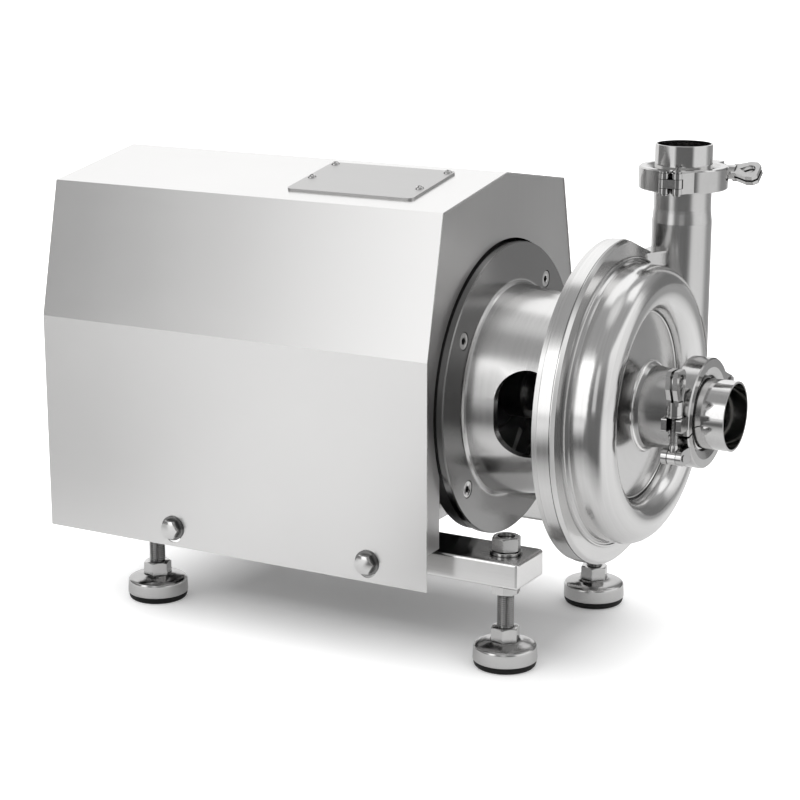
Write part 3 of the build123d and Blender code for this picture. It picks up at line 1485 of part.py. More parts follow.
    # Wing nut: round collar with two parallel ears, pierced by a drop-shaped hole
    nut_y = seat_y + clamp_washer_t
    ear_y = nut_y + collar_h
    ear_top_y = seat_y + nut_reach
    turned = Plane(
        clamp * Plane(
            origin=(bolt_x, 0, 0),
            x_dir=(math.cos(math.radians(nut_turn)), 0, -math.sin(math.radians(nut_turn))),
            z_dir=(math.sin(math.radians(nut_turn)), 0, math.cos(math.radians(nut_turn))),
        )
    )
    with BuildPart() as wing_nut:
        for face in (ear_inner, -ear_outer):
            with BuildSketch(turned.offset(face)):
                with BuildLine():
                    Polyline(
                        (-collar_r + ear_waist, ear_y - ear_root),
                        (-collar_r + ear_waist, ear_y + ear_flare_start),
                        (-ear_half_w, ear_y + ear_flare_end),
                        (-ear_half_w, ear_top_y - ear_bevel_h),
                        (-ear_half_w + ear_bevel_w, ear_top_y),
                        (ear_half_w - ear_bevel_w, ear_top_y),
                        (ear_half_w, ear_top_y - ear_bevel_h),
                        (ear_half_w, ear_y + ear_flare_end),
                        (collar_r - ear_waist, ear_y + ear_flare_start),
                        (collar_r - ear_waist, ear_y - ear_root),
                        close=True,
                    )
                make_face()
                with Locations((0, ear_top_y - ear_hole_drop)):
                    Circle(ear_hole_r, mode=Mode.SUBTRACT)
                with BuildLine():
                    Polyline(
                        (-ear_hole_r * 0.94, ear_top_y - ear_tip_drop),
                        (ear_hole_r * 0.94, ear_top_y - ear_tip_drop),
                        (0, ear_y + 4),
                        close=True,
                    )
                make_face(mode=Mode.SUBTRACT)
            extrude(amount=ear_outer - ear_inner)
        with BuildSketch(on(clamp, Plane.XZ.offset(-nut_y))):
            with Locations((bolt_x, 0)):
                Circle(collar_r)
        extrude(amount=-collar_h)
        with BuildSketch(on(clamp, Plane.XZ.offset(-nut_y))):
            with Locations((bolt_x, 0)):
                Circle(clamp_bolt_r + fit_gap)
        extrude(amount=-collar_h, mode=Mode.SUBTRACT)
    save(wing_nut.part, name + "_wing_nut")


suction_clamp = Plane(origin=(suction_joint_x, 0, axis_z), x_dir=(0, -1, 0), z_dir=(-1, 0, 0))
clamp_pieces(
    "suction", suction_clamp, suction_rim_r, suction_tube_r, front_x + port_reach - suction_joint_x,
    suction_jaw_r, suction_jaw_half_w, suction_face_r, suction_lip_r, suction_lip_z,
    suction_bolt_x, suction_eye_y, suction_seat_y, suction_bolt_cut, suction_hinge_cut,
    suction_hinge_r, suction_pin_half, suction_nut_reach, suction_nut_turn,
)
outlet_clamp = Plane(origin=(discharge_x, discharge_y, discharge_joint_z), x_dir=(0, 1, 0), z_dir=(0, 0, -1))
clamp_pieces(
    "discharge", outlet_clamp, outlet_rim_r, outlet_tube_r, discharge_top_z - discharge_joint_z,
    outlet_jaw_r, outlet_jaw_half_w, outlet_face_r, outlet_lip_r, outlet_lip_z,
    outlet_bolt_x, outlet_eye_y, outlet_seat_y, outlet_bolt_cut, outlet_hinge_cut,
    outlet_hinge_r, outlet_pin_half, outlet_nut_reach, outlet_nut_turn,
)
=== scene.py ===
import json
import math

import bmesh
import bpy
from mathutils import Matrix, Vector


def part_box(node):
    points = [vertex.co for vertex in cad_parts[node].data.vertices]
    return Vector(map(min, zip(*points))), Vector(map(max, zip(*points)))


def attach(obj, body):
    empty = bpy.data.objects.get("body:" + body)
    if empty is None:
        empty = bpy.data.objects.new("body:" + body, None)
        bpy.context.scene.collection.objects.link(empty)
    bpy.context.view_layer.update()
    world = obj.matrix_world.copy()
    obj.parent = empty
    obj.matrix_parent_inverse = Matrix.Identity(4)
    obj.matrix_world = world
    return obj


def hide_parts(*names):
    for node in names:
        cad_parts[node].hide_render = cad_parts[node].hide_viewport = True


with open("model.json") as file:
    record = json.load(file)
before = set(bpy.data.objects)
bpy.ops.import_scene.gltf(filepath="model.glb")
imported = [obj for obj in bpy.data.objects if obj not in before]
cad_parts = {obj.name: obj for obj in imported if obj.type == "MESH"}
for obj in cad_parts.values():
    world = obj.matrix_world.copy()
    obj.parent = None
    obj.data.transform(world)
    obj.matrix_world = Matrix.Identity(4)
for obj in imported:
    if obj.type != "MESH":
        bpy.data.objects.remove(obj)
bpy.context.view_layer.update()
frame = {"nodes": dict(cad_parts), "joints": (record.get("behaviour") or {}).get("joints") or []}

# The photograph's camera, in metres and degrees
camera_place = (0.96161, -1.73406, 0.71009)
camera_azimuth = 29.14
camera_elevation = 14.16
camera_lens = 94.43

# Light levels of the studio
floor_glow = 0.9
soft_level = 1.0
# What metal mirrors of the sky: its level at the horizon, and what is added higher up and overhead
dark_level = 0.19
high_glow = 0.20
top_glow = 0.45
# Heights (sine of elevation) between which the two are added
high_rise = (0.25, 0.60)
top_rise = (0.93, 0.99)
# Soft boxes that metal mirrors: azimuth, half widths at the foot and at full level in degrees,
# heights (sine of elevation) where it starts, is full, begins to fade and ends, and its level
soft_boxes = (
    (-112.0, 13.0, 9.0, -0.05, 0.02, 0.60, 0.70, 1.25),
    (-125.0, 22.0, 16.0, 0.42, 0.50, 0.68, 0.76, 0.50),
    (-70.0, 11.0, 7.0, 0.02, 0.08, 0.58, 0.68, 0.50),
    (11.0, 42.0, 30.0, -0.16, -0.10, 0.58, 0.66, 0.72),
    (52.0, 22.0, 14.0, 0.66, 0.72, 0.90, 0.94, 0.85),
    (130.0, 40.0, 28.0, -0.10, 0.00, 0.90, 0.96, 0.84),
)
# Dark patches of the floor that metal mirrors: azimuth, half widths at the foot and at full
# darkness in degrees, radii where it starts and is full, and its share
dark_patches = (
    (-63.0, 41.0, 30.0, 0.3, 0.6, 0.86),
    (58.5, 33.0, 14.0, 0.5, 1.3, 0.62),
    (-140.0, 15.5, 6.0, 0.4, 0.8, 0.40),
)
lamp_target = (0.0, 0.0, 0.2)
floor_half = 12.0
# Half sizes of the place under the pump where the floor doesn't glow, so that it keeps the
# shadow, and the distance from there at which it glows in full
footprint_x = 0.17
footprint_y = 0.04
glow_reach = 0.24

# Places on the pump, in metres and degrees
joints = {joint["name"]: joint for joint in frame["joints"]}
shaft_z = joints["rotor_spin"]["pos_m"][2]
foot_places = ("front_near", "front_far", "rear_near", "rear_far")
wall_y = 0.1547
wall_bolts_x = (0.04655, -0.16925)
wall_bolt_z = 0.096
flange_screws_x = 0.11525
flange_screws_at = ((0.07234, 0.32859), (0.07234, 0.14341), (-0.09854, 0.3), (-0.08868, 0.15891))
plate_screws_x = 0.20835
plate_screws_r = 0.142
plate_screws_turn = (12, 92, 131, 170, 209, 248, 287, 326)
roof_slope = 9.359
roof_middle = (-0.00315, -0.058, 0.43074)
roof_plate_t = 0.0020
lid_screws_at = ((-0.0605, 0.0375), (-0.0605, -0.006), (0.0605, 0.0375), (0.0585, -0.0138))

# How far from other metal the painted shade in crevices reaches
crevice_shade_reach = 0.005

# Where the painted shade on a finish begins and ends
drum_foot_r = 0.1025
flange_front_x = 0.1175
dish_front_x = 0.2440
neck_r = 0.0400
dish_inner_r = 0.0415
dish_outer_r = 0.0862
bar_top_z = 0.1079
cap_slope_z = 0.0203
cap_top_z = 0.0252
hexagon_top_z = 0.0382

# Fasteners
stud_r = 0.008
stud_root_r = 0.0070
stud_pitch = 0.002
stud_flats = 0.024
stud_hexagon_z = (0.0250, 0.0380)
stud_thread_z = 0.0375
stud_tip = 0.0010
nut_height = 0.013
nut_bore_r = 0.00805
bolt_r = 0.0040
bolt_root_r = 0.00335
bolt_pitch = 0.00125
bolt_thread_start = 0.0108
bolt_tip = 0.0006
bolt_tip_r = 0.0030
wall_bolt_flats = 0.017
wall_bolt_top = 0.0085
wall_washer_t = 0.0020

# Outlines of turned shapes, as points of radius and height
cap_outline = (
    (0.0001, 0.0250), (0.0142, 0.0250), (0.0146, 0.0247), (0.0190, 0.02385), (0.0235, 0.0228),
    (0.0262, 0.0221), (0.0276, 0.0214), (0.0287, 0.0206), (0.0293, 0.0197), (0.02955, 0.0186),
    (0.0296, 0.0150), (0.0298, 0.0115), (0.0300, 0.0085), (0.0300, 0.0074), (0.0298, 0.0070),
    (0.0280, 0.0070), (0.0280, 0.0185), (0.0258, 0.0196), (0.0139, 0.0230), (0.0001, 0.0230),
)
sole_outline = (
    (0.0001, 0.0000), (0.0249, 0.0000), (0.0262, 0.0003), (0.0275, 0.0009), (0.0285, 0.0020),
    (0.0291, 0.0036), (0.0292, 0.0048), (0.0292, 0.0064), (0.0290, 0.0069), (0.0279, 0.0069),
    (0.0279, 0.0180), (0.0256, 0.0191), (0.0139, 0.0228), (0.0001, 0.0228),
)
dish_seam_outline = (
    (0.0868, 0.2464), (0.0866, 0.2471), (0.0860, 0.2474), (0.0854, 0.2473), (0.0850, 0.2466),
)
neck_seam_outline = (
    (0.0421, 0.2550), (0.0419, 0.2564), (0.0413, 0.2572), (0.0405, 0.2576), (0.0398, 0.2572),
)
wall_washer_outline = (
    (0.0052, 0.0), (0.0117, 0.0), (0.0120, 0.0003), (0.0120, 0.0017), (0.0117, wall_washer_t),
    (0.0052, wall_washer_t),
)
wall_shank_outline = (
    (0.0001, 0.0025), (0.0050, 0.0025), (0.0050, -0.0385), (0.0001, -0.0385),
)
eye_outline = (
    (0.00305, -0.0038), (0.0033, -0.0042), (0.0061, -0.0042), (0.0065, -0.0038),
    (0.0065, 0.0038), (0.0061, 0.0042), (0.0033, 0.0042), (0.00305, 0.0038), (0.00305, -0.0038),
)
eye_neck_outline = (
    (0.00385, 0.0050), (0.0039, 0.0100), (0.0034, 0.0112),
)


def set_camera():
    data = bpy.data.cameras.new("camera")
    data.lens = camera_lens
    data.sensor_width = 36.0
    data.clip_end = 50.0
    camera = bpy.data.objects.new("camera", data)
    bpy.context.collection.objects.link(camera)
    camera.location = camera_place
    tilt = math.radians(90 - camera_elevation)
    camera.rotation_euler = (tilt, 0, math.radians(camera_azimuth))
    bpy.context.scene.camera = camera


# Shader sums


class Wiring:
    """The nodes of a material or of the world."""

    def __init__(self, tree):
        self.tree = tree

    def plug(self, item, socket):
        """Link a value to a socket, or write a number or colour on it."""
        if isinstance(item, Value):
            self.tree.links.new(item.socket, socket)
        else:
            socket.default_value = item

    def node(self, kind, settings, inputs, output=0):
        """One output of a new node: settings first, then the values or links of its sockets."""
        node = self.tree.nodes.new(kind)
        for key, setting in settings.items():
            setattr(node, key, setting)
        for key, item in inputs.items():
            self.plug(item, node.inputs[key])
        return Value(self, node.outputs[output])

    def place(self, kind="Object"):
        return self.node("ShaderNodeTexCoord", {}, {}, kind)

    def split(self, vector):
        x = self.node("ShaderNodeSeparateXYZ", {}, {"Vector": vector}, "X")
        return x, x.beside("Y"), x.beside("Z")

    def join(self, x, y, z):
        return self.node("ShaderNodeCombineXYZ", {}, {"X": x, "Y": y, "Z": z})

    def rays(self):
        """Which rays come from the camera, and which from gloss or glass."""
        seen = self.node("ShaderNodeLightPath", {}, {}, "Is Camera Ray")
        return seen, seen.beside("Is Glossy Ray") + seen.beside("Is Transmission Ray")


class Value:
    """One output of a shader node, which sums and products can be written with."""

    def __init__(self, wiring, socket):
        self.wiring = wiring
        self.socket = socket

    def beside(self, output):
        """Another output of the same node."""
        return Value(self.wiring, self.socket.node.outputs[output])

    def math(self, operation, *others, first=None):
        terms = (self, *others) if first is None else (first, self, *others)
        return self.wiring.node(
            "ShaderNodeMath", {"operation": operation}, dict(enumerate(terms)),
        )

    def __add__(self, other):
        return self.math("ADD", other)

    def __radd__(self, other):
        return self.math("ADD", other)

    def __sub__(self, other):
        return self.math("SUBTRACT", other)

    def __rsub__(self, other):
        return self.math("SUBTRACT", first=other)

    def __mul__(self, other):
        return self.math("MULTIPLY", other)

    def __rmul__(self, other):
        return self.math("MULTIPLY", other)

    def __truediv__(self, other):
        return self.math("DIVIDE", other)

    def __rtruediv__(self, other):
        return self.math("DIVIDE", first=other)

    def __pow__(self, other):
        return self.math("POWER", other)

    def over(self, low, high):
        """0 below low and 1 above high, with a straight slope between."""
        rise = (self - low) * (1.0 / (high - low))
        return rise.math("MAXIMUM", 0.0).math("MINIMUM", 1.0)


class Finish(Wiring):
    """A surface finish, with the nodes that it is mixed from."""

    def __init__(self, name, colour, roughness, metallic=0.0, **fixed):
        self.material = bpy.data.materials.new(name)
        self.material.use_nodes = True
        super().__init__(self.material.node_tree)
        self.shader = self.tree.nodes["Principled BSDF"]
        self.set("Base Color", (*colour, 1.0))
        self.set("Roughness", roughness)
        self.set("Metallic", metallic)
        for socket, number in fixed.items():
            self.set(socket.replace("_", " "), number)

    def set(self, socket, item):
        self.plug(item, self.shader.inputs[socket])

    def about_shaft(self):
        """Places along the pump's shaft, sideways and above it, and away from it."""
        x, y, z = self.split(self.place())
        up = z - shaft_z
        return x, y, up, (y * y + up * up) ** 0.5

    def noise(self, vector, scale, detail=3.0, rough=0.5):
        return self.node("ShaderNodeTexNoise", {}, {
            "Vector": vector, "Scale": scale, "Detail": detail, "Roughness": rough,
        })

    def closeness(self, reach):
        """How much of the pump stands near a point, which the finishes turn into painted shade in
        crevices.
        """
        return 1.0 - self.node(
            "ShaderNodeAmbientOcclusion", {"samples": 6}, {"Distance": reach}, "AO",
        )

    def mix(self, share, first, second):
        # Sockets by number, because this node's colour and number sockets share their names
        factor, colour_a, colour_b, colour_out = 0, 6, 7, 2
        return self.node(
            "ShaderNodeMix", {"data_type": "RGBA"},
            {factor: share, colour_a: first, colour_b: second}, colour_out,
        )

    def bump(self, height, strength, depth):
        self.set("Normal", self.node("ShaderNodeBump", {}, {
            "Height": height, "Strength": strength, "Distance": depth,
        }))


def grey(shade, warm=0.0):
    return (shade * (1 + warm), shade, shade * (1 - warm), 1.0)


def steel(name, shade, roughness, grain_vector,
          spread=0.06, depth=0.00002, blotch=0.05, streak=0.10, painted_shade_zone=None, crevice_shade=0.0):
    """Bare stainless steel, whose grain runs along the directions that the vector keeps short.

    Roughness varies by spread along the grain and by blotch in clouds, and streak darkens both.
    Painted shade: a zone that a mask marks is left darker, and so is what lies close to other
    metal.
    """
    warmth = 0.006
    finish = Finish(name, (shade, shade, shade), roughness, 1.0)
    vector = grain_vector(finish)
    grain = finish.noise(vector, scale=1.0, detail=4.0, rough=0.65)
    cloud = finish.noise(finish.place(), scale=9.0)
    colour = finish.mix(
        (grain * 0.5 + cloud * 0.5).over(0.3, 0.7),
        grey(shade * (1.0 - streak), warmth), grey(shade * 1.05, warmth),
    )
    # Painted shade over the zone that the mask marks
    if painted_shade_zone:
        colour = finish.mix(painted_shade_zone(finish) * 0.55, colour, grey(shade * 0.30, warmth))
    # Painted shade in crevices, darker where other metal stands close
    if crevice_shade:
        painted_crevice_shade = finish.closeness(crevice_shade_reach).over(0.12, 0.62) * crevice_shade
        colour = finish.mix(painted_crevice_shade, colour, grey(shade * 0.10, warmth))
    finish.set("Base Color", colour)
    finish.set("Roughness", roughness + (grain - 0.5) * spread * 2 + (cloud - 0.5) * blotch * 2)
    finish.bump(grain, strength=0.35, depth=depth)
    return finish.material


def along(x, y, z):
    """Grain lines whose scale along each axis is given in lines per metre."""
    def vector(finish):
        sides = finish.split(finish.place())
        return finish.join(sides[0] * x, sides[1] * y, sides[2] * z)
    return vector


def turned(rings, faces, turn=1.5):
    """Rings left by turning about the shaft, on a face and along a barrel."""
    def vector(finish):
        x, y, up, radius = finish.about_shaft()
        angle = y.math("ARCTAN2", up)
        return finish.join(radius * rings, x * faces, angle.math("SINE") * turn)
    return vector


def shroud_sheet():
    return steel("shroud_sheet", 0.79, 0.26, along(6.0, 900.0, 900.0),
                 spread=0.012, depth=0.000002, blotch=0.02, streak=0.0)


def end_panel_shaded_sheet():
    # Upright grain of its own, with a tone darker than the shroud skin that is painted shade on
    # the end panels
    return steel("end_panel_shaded_sheet", 0.62, 0.34, along(900.0, 900.0, 8.0),
                 spread=0.02, depth=0.000003, blotch=0.02, streak=0.03)


def plate_grey():
    return steel("plate_grey", 0.56, 0.42, along(8.0, 900.0, 900.0),
                 spread=0.03, depth=0.000006, blotch=0.03, streak=0.03)


def turned_steel():
    return steel("turned_steel", 0.72, 0.24, turned(900.0, 900.0), spread=0.07)


def lantern_steel():
    """The lantern's turned steel, with painted shade on the flange face."""
    return steel("lantern_steel", 0.76, 0.20, turned(900.0, 900.0),
                 spread=0.07, painted_shade_zone=flange_face_shade)


def flange_face_shade(finish):
    # Painted shade on the flange face, outside the drum and behind its front
    x, y, up, radius = finish.about_shaft()
    outside_drum = radius.over(drum_foot_r, drum_foot_r + 0.002)
    return outside_drum * (flange_front_x - x).over(0.0, 0.002) * 1.7


def casing_steel():
    # Painted shade in crevices, and on the suction neck and dish
    return steel("casing_steel", 0.76, 0.17, turned(700.0, 700.0),
                 painted_shade_zone=neck_and_dish_shade, crevice_shade=0.8)


def neck_and_dish_shade(finish):
    """Painted shade on the front of the suction neck, and a lighter painted shade on the dish."""
    x, y, up, radius = finish.about_shaft()
    front = (x - dish_front_x).over(0.0, 0.0010)
    neck = (neck_r - radius).over(0.0, 0.0006)
    dish = (radius - dish_inner_r).over(0.0, 0.0010) * (dish_outer_r - radius).over(0.0, 0.0008)
    return (neck * 1.1 + dish * 0.35) * front


def outlet_steel():
    return steel("outlet_steel", 0.64, 0.22, along(700.0, 700.0, 12.0),
                 spread=0.05, depth=0.00001)


def seam_highlight_steel():
    # Lighter than the casing's steel: a painted highlight along the weld beads
    return steel("seam_highlight_steel", 0.90, 0.22, along(900.0, 900.0, 900.0))


def bar_steel():
    return steel("bar_steel", 0.88, 0.20, along(8.0, 700.0, 700.0),
                 spread=0.05, depth=0.00001, painted_shade_zone=bar_top_shade)


def bar_top_shade(finish):
    # Painted dark reflection on the bars' top face, where they mirror the lantern above
    x, y, z = finish.split(finish.place())
    return z.over(bar_top_z, bar_top_z + 0.0005) * 0.8


def foot_steel():
    # Painted shade on the cap's top and in crevices
    return steel("foot_steel", 0.66, 0.16, along(500.0, 500.0, 900.0),
                 spread=0.05, depth=0.00001, painted_shade_zone=cap_top_shade, crevice_shade=0.8)


def cap_top_shade(finish):
    """Painted shade on the upper face of a foot's cap; its stud's thread is also left darker."""
    x, y, z = finish.split(finish.place())
    cap = z.over(cap_slope_z, cap_slope_z + 0.0009) * (cap_top_z - z).over(0.0, 0.0002)
    return cap * 0.75 + z.over(hexagon_top_z, hexagon_top_z + 0.0004) * 0.6


def tube_steel():
    return steel("tube_steel", 0.70, 0.10, along(500.0, 500.0, 500.0),
                 spread=0.04, depth=0.00001)


def clamp_steel():
    # Painted shade in the clamps' crevices
    return steel("clamp_steel", 0.60, 0.12, along(240.0, 240.0, 240.0),
                 depth=0.00004, crevice_shade=0.95)


def bolt_steel():
    # Painted shade in the bolts' crevices
    return steel("bolt_steel", 0.74, 0.14, along(600.0, 600.0, 600.0),
                 spread=0.05, crevice_shade=0.9)


def washer_shade_steel():
    # Same steel as the bolts, painted much darker for the shade around each washer's edge, with
    # painted shade in crevices too
    return steel("washer_shade_steel", 0.26, 0.20, along(600.0, 600.0, 600.0),
                 spread=0.05, crevice_shade=0.8)


def shaft_steel():
    return steel("shaft_steel", 0.30, 0.30, turned(900.0, 1500.0))


def enamel(name, shade, roughness, peel_scale=900.0):
    """Sprayed black paint with a light orange peel."""
    finish = Finish(name, (shade, shade, shade * 1.06), roughness)
    peel = finish.noise(finish.place(), peel_scale, detail=2.0)
    dust = finish.noise(finish.place(), scale=30.0, detail=5.0, rough=0.7)
    finish.set("Base Color", finish.mix(dust.over(0.45, 0.75), grey(shade), grey(shade * 1.9)))
    finish.set("Roughness", roughness + (dust - 0.5) * 0.2)
    finish.bump(peel, strength=0.3, depth=0.00015)
    return finish.material


def pad_rubber():
    finish = Finish("pad_rubber", (0.008, 0.008, 0.008), 0.55, Specular_IOR_Level=0.25)
    speck = finish.noise(finish.place(), scale=1400.0)
    dust = finish.noise(finish.place(), scale=60.0, detail=5.0, rough=0.7)
    finish.set("Base Color", finish.mix(dust.over(0.5, 0.8), grey(0.006), grey(0.020)))
    finish.set("Roughness", 0.5 + (dust - 0.5) * 0.3)
    finish.bump(speck, strength=0.35, depth=0.0002)
    return finish.material


def port_gasket():
    finish = Finish("port_gasket", (0.70, 0.70, 0.66), 0.5)
    cloud = finish.noise(finish.place(), scale=200.0)
    finish.set("Roughness", 0.45 + cloud * 0.15)
    finish.bump(cloud, strength=0.2, depth=0.0001)
    return finish.material


def copper_wire():
    dark, bright = (0.3, 0.11, 0.05, 1.0), (0.6, 0.25, 0.11, 1.0)
    finish = Finish("copper_wire", (0.5, 0.2, 0.09), 0.35, 0.9)
    turn = finish.noise(along(60.0, 900.0, 900.0)(finish), scale=1.0)
    finish.set("Base Color", finish.mix(turn.over(0.3, 0.7), dark, bright))
    finish.bump(turn, strength=0.6, depth=0.0006)
    return finish.material


def core_plates():
    """Stacked sheet steel, a thousand plates to the metre."""
    finish = Finish("core_plates", (0.16, 0.16, 0.17), 0.4, 0.8)
    x, y, z = finish.split(finish.place())
    plate = (x * 2000.0 * math.pi).math("SINE") * 0.5 + 0.5
    finish.set("Base Color", finish.mix(plate, grey(0.11), grey(0.2)))
    finish.bump(plate, strength=0.4, depth=0.0001)
    return finish.material


def dress():
    """Give every CAD node its finish, and put the detailed fasteners in place."""
    sheet = shroud_sheet()
    panel = end_panel_shaded_sheet()
    machined = turned_steel()
    bars = bar_steel()
    foot = foot_steel()
    tube = tube_steel()
    clamp = clamp_steel()
    bolt = bolt_steel()
    shaft = shaft_steel()
    paint = enamel("motor_paint", 0.018, 0.38)
    plastic = enamel("moulded_black", 0.02, 0.5, peel_scale=1500.0)
    rubber = pad_rubber()
    gasket = port_gasket()
    finishes = {
        "shroud_skin": sheet, "shroud_front_panel": panel, "shroud_rear_panel": panel,
        "access_plate": plate_grey(), "adapter": lantern_steel(), "back_plate": machined,
        "casing": casing_steel(), "outlet_pipe": outlet_steel(),
        "rail_near": bars, "rail_far": bars, "cross_bars": bars,
        "impeller": machined, "impeller_nut": machined,
        "pump_shaft": shaft, "motor_shaft": shaft, "seal_rotating": shaft, "seal_seat": shaft,
        "motor_front_shield": paint, "motor_rear_shield": paint, "motor_frame": paint,
        "terminal_box": paint, "terminal_lid": paint, "fan_cowl": paint,
        "cooling_fan": plastic, "cable_gland": plastic,
        "stator_core": core_plates(), "rotor_core": core_plates(),
        "stator_windings": copper_wire(), "motor_bearings": tube, "casing_gasket": rubber,
        "suction_gasket": gasket, "discharge_gasket": gasket,
        "suction_stub": tube, "discharge_stub": tube,
    }
    for place in foot_places:
        finishes["foot_stud_" + place] = foot
        finishes["foot_pad_" + place] = rubber
    clamp_ends = ("_jaw_fixed", "_jaw_moving", "_link", "_wing_nut")
    for node, dressed in frame["nodes"].items():
        if node.endswith(clamp_ends):
            finish = clamp
        else:
            finish = finishes.get(node, bolt)
        dressed.data.materials.clear()
        dressed.data.materials.append(finish)
    foot_studs(foot)
    foot_pads(rubber)
    seam_rings(seam_highlight_steel())
    bar_nuts(bolt)
    wall_bolts(bolt, washer_shade_steel())
    flange_screws(bolt)
    plate_screws(bolt)
    lid_screws(bolt)
    eye_bolts(bolt)


# Mesh pieces


def piece(name, work, finishes, body):
    """A new mesh piece, shaped by a function of its bmesh and riding on a body."""
    mesh = bpy.data.meshes.new(name)
    bm = bmesh.new()
    work(bm)
    bmesh.ops.recalc_face_normals(bm, faces=bm.faces)
    bm.to_mesh(mesh)
    bm.free()
    mesh.polygons.foreach_set("use_smooth", [True] * len(mesh.polygons))
    mesh.set_sharp_from_angle(angle=math.radians(32.0))
    for finish in finishes:
        mesh.materials.append(finish)
    made = bpy.data.objects.new(name, mesh)
    bpy.context.collection.objects.link(made)
    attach(made, body)
    return made


def stand(base, up, across=None):
    """A frame at a point, with its Z along a direction."""
    z = Vector(up).normalized()
    x = Vector(across) if across else z.orthogonal()
    x = (x - z * x.dot(z)).normalized()
    turn = Matrix((x, z.cross(x), z)).transposed().to_4x4()
    return Matrix.Translation(Vector(base)) @ turn


def stand_under(node):
    """A frame on the floor, under the middle of a node."""
    low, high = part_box(node)
    return stand(((low[0] + high[0]) / 2, (low[1] + high[1]) / 2, 0.0), (0, 0, 1))


def skin(bm, rings):
    """Faces between rings of points that have the same number of points."""
    lines = [[bm.verts.new(point) for point in ring] for ring in rings]
    for lower, upper in zip(lines, lines[1:]):
        count = len(lower)
        for step in range(count):
            after = (step + 1) % count
            bm.faces.new((lower[step], lower[after], upper[after], upper[step]))
    return lines


def weld(bm, distance=1e-7):
    bmesh.ops.remove_doubles(bm, verts=bm.verts, dist=distance)


def ring(frame_at, radii, heights):
    """Points at equal steps of angle about a frame's Z."""
    steps = len(radii)
    points = []
    for step, (radius, height) in enumerate(zip(radii, heights)):
        angle = 2 * math.pi * step / steps
        point = (radius * math.cos(angle), radius * math.sin(angle), height)
        points.append(frame_at @ Vector(point))
    return points


def circle(frame_at, radius, height, steps):
    return ring(frame_at, [radius] * steps, [height] * steps)


def lathed(bm, outline, frame_at, steps=48):
    """A turned shape: its outline is points of radius and height about the frame's Z."""
    skin(bm, [circle(frame_at, radius, height, steps) for radius, height in outline])
    weld(bm)


def threaded(bm, root_r, crest_r, pitch, low, high, frame_at, steps=36):
    """A screw thread, as a skin whose radius rises and falls along a helix."""
    rows_a_turn = 6
    flank = 2.6
    flat_crest = 1.25
    rows = max(8, int((high - low) / pitch * rows_a_turn))
    rings = []
    for row in range(rows + 1):
        height = low + (high - low) * row / rows
        fade = min(1.0, (height - low) / pitch, (high - height) / pitch)
        radii = []
        for step in range(steps):
            phase = (height / pitch - step / steps) % 1.0
            rise = max(0.0, 1.0 - abs(phase - 0.5) * flank) * fade
            radii.append(root_r + (crest_r - root_r) * min(1.0, rise * flat_crest))
        rings.append(ring(frame_at, radii, [height] * steps))
    skin(bm, rings)


def hexagon(flats, steps=48):
    """Radii of a hexagon at equal steps of angle, with its corners on steps."""
    radii = []
    for step in range(steps):
        turn = math.radians(360.0 * step / steps)
        off = abs((turn + math.pi / 6) % (math.pi / 3) - math.pi / 6)
        radii.append(flats / 2 / math.cos(math.pi / 6 - off))
    return radii


def hexed(bm, flats, low, high, frame_at, bore=0.0):
    """A head with bevelled upper corners, or with a bore a nut that is bevelled at both ends."""
    radii = hexagon(flats)
    steps = len(radii)
    face_r = flats / 2 * 0.97
    bevel_slope = math.tan(math.radians(30))
    drops = [max(0.0, radius - face_r) * bevel_slope for radius in radii]
    upper = [
        ring(frame_at, radii, [high - drop for drop in drops]),
        circle(frame_at, face_r, high, steps),
    ]
    if bore:
        inner = circle(frame_at, bore, low, steps)
        lower = [
            circle(frame_at, face_r, low, steps),
            ring(frame_at, radii, [low + drop for drop in drops]),
        ]
        skin(bm, [inner, *lower, *upper, circle(frame_at, bore, high, steps), inner])
    else:
        lines = skin(bm, [ring(frame_at, radii, [low] * steps), *upper])
        bm.faces.new(lines[0])
        bm.faces.new(lines[-1])
    weld(bm)


def socket_screw(bm, frame_at, head_r, head_h, shank_r, length, socket_flats, socket_depth,
                 steps=48):
    """A countersunk screw with a hexagon socket, its face at the frame's origin."""
    point_r = 1e-6
    edge = 0.0003
    radii = hexagon(socket_flats, steps)
    skin(bm, [
        circle(frame_at, point_r, -length, steps),
        circle(frame_at, shank_r, -length, steps),
        circle(frame_at, shank_r, -head_h, steps),
        circle(frame_at, head_r, -edge, steps),
        circle(frame_at, head_r - edge, 0.0, steps),
        circle(frame_at, max(radii) + 0.0006, 0.0, steps),
        ring(frame_at, radii, [-0.0004] * steps),
        ring(frame_at, radii, [-socket_depth] * steps),
        circle(frame_at, point_r, -socket_depth - 0.0006, steps),
    ])
    weld(bm, 1e-5)


def cross_screw(bm, frame_at, head_r, head_h, cross_r, cross_half):
    """A low domed head with a cross recess."""
    steps = 72
    rows = 16
    rings = []
    for row in range(rows + 1):
        radius = head_r * row / rows
        points = []
        for step in range(steps):
            angle = 2 * math.pi * step / steps
            x, y = radius * math.cos(angle), radius * math.sin(angle)
            height = head_h * (1.0 - (radius / head_r) ** 3.2)
            far, near = max(abs(x), abs(y)), min(abs(x), abs(y))
            if near < cross_half and far < cross_r:
                height -= head_h * 0.75 * (1.0 - 0.7 * far / cross_r)
            points.append(frame_at @ Vector((x, y, height)))
        rings.append(points)
    rings.append(circle(frame_at, head_r, -0.0005, steps))
    skin(bm, rings)
    weld(bm, 1e-6)


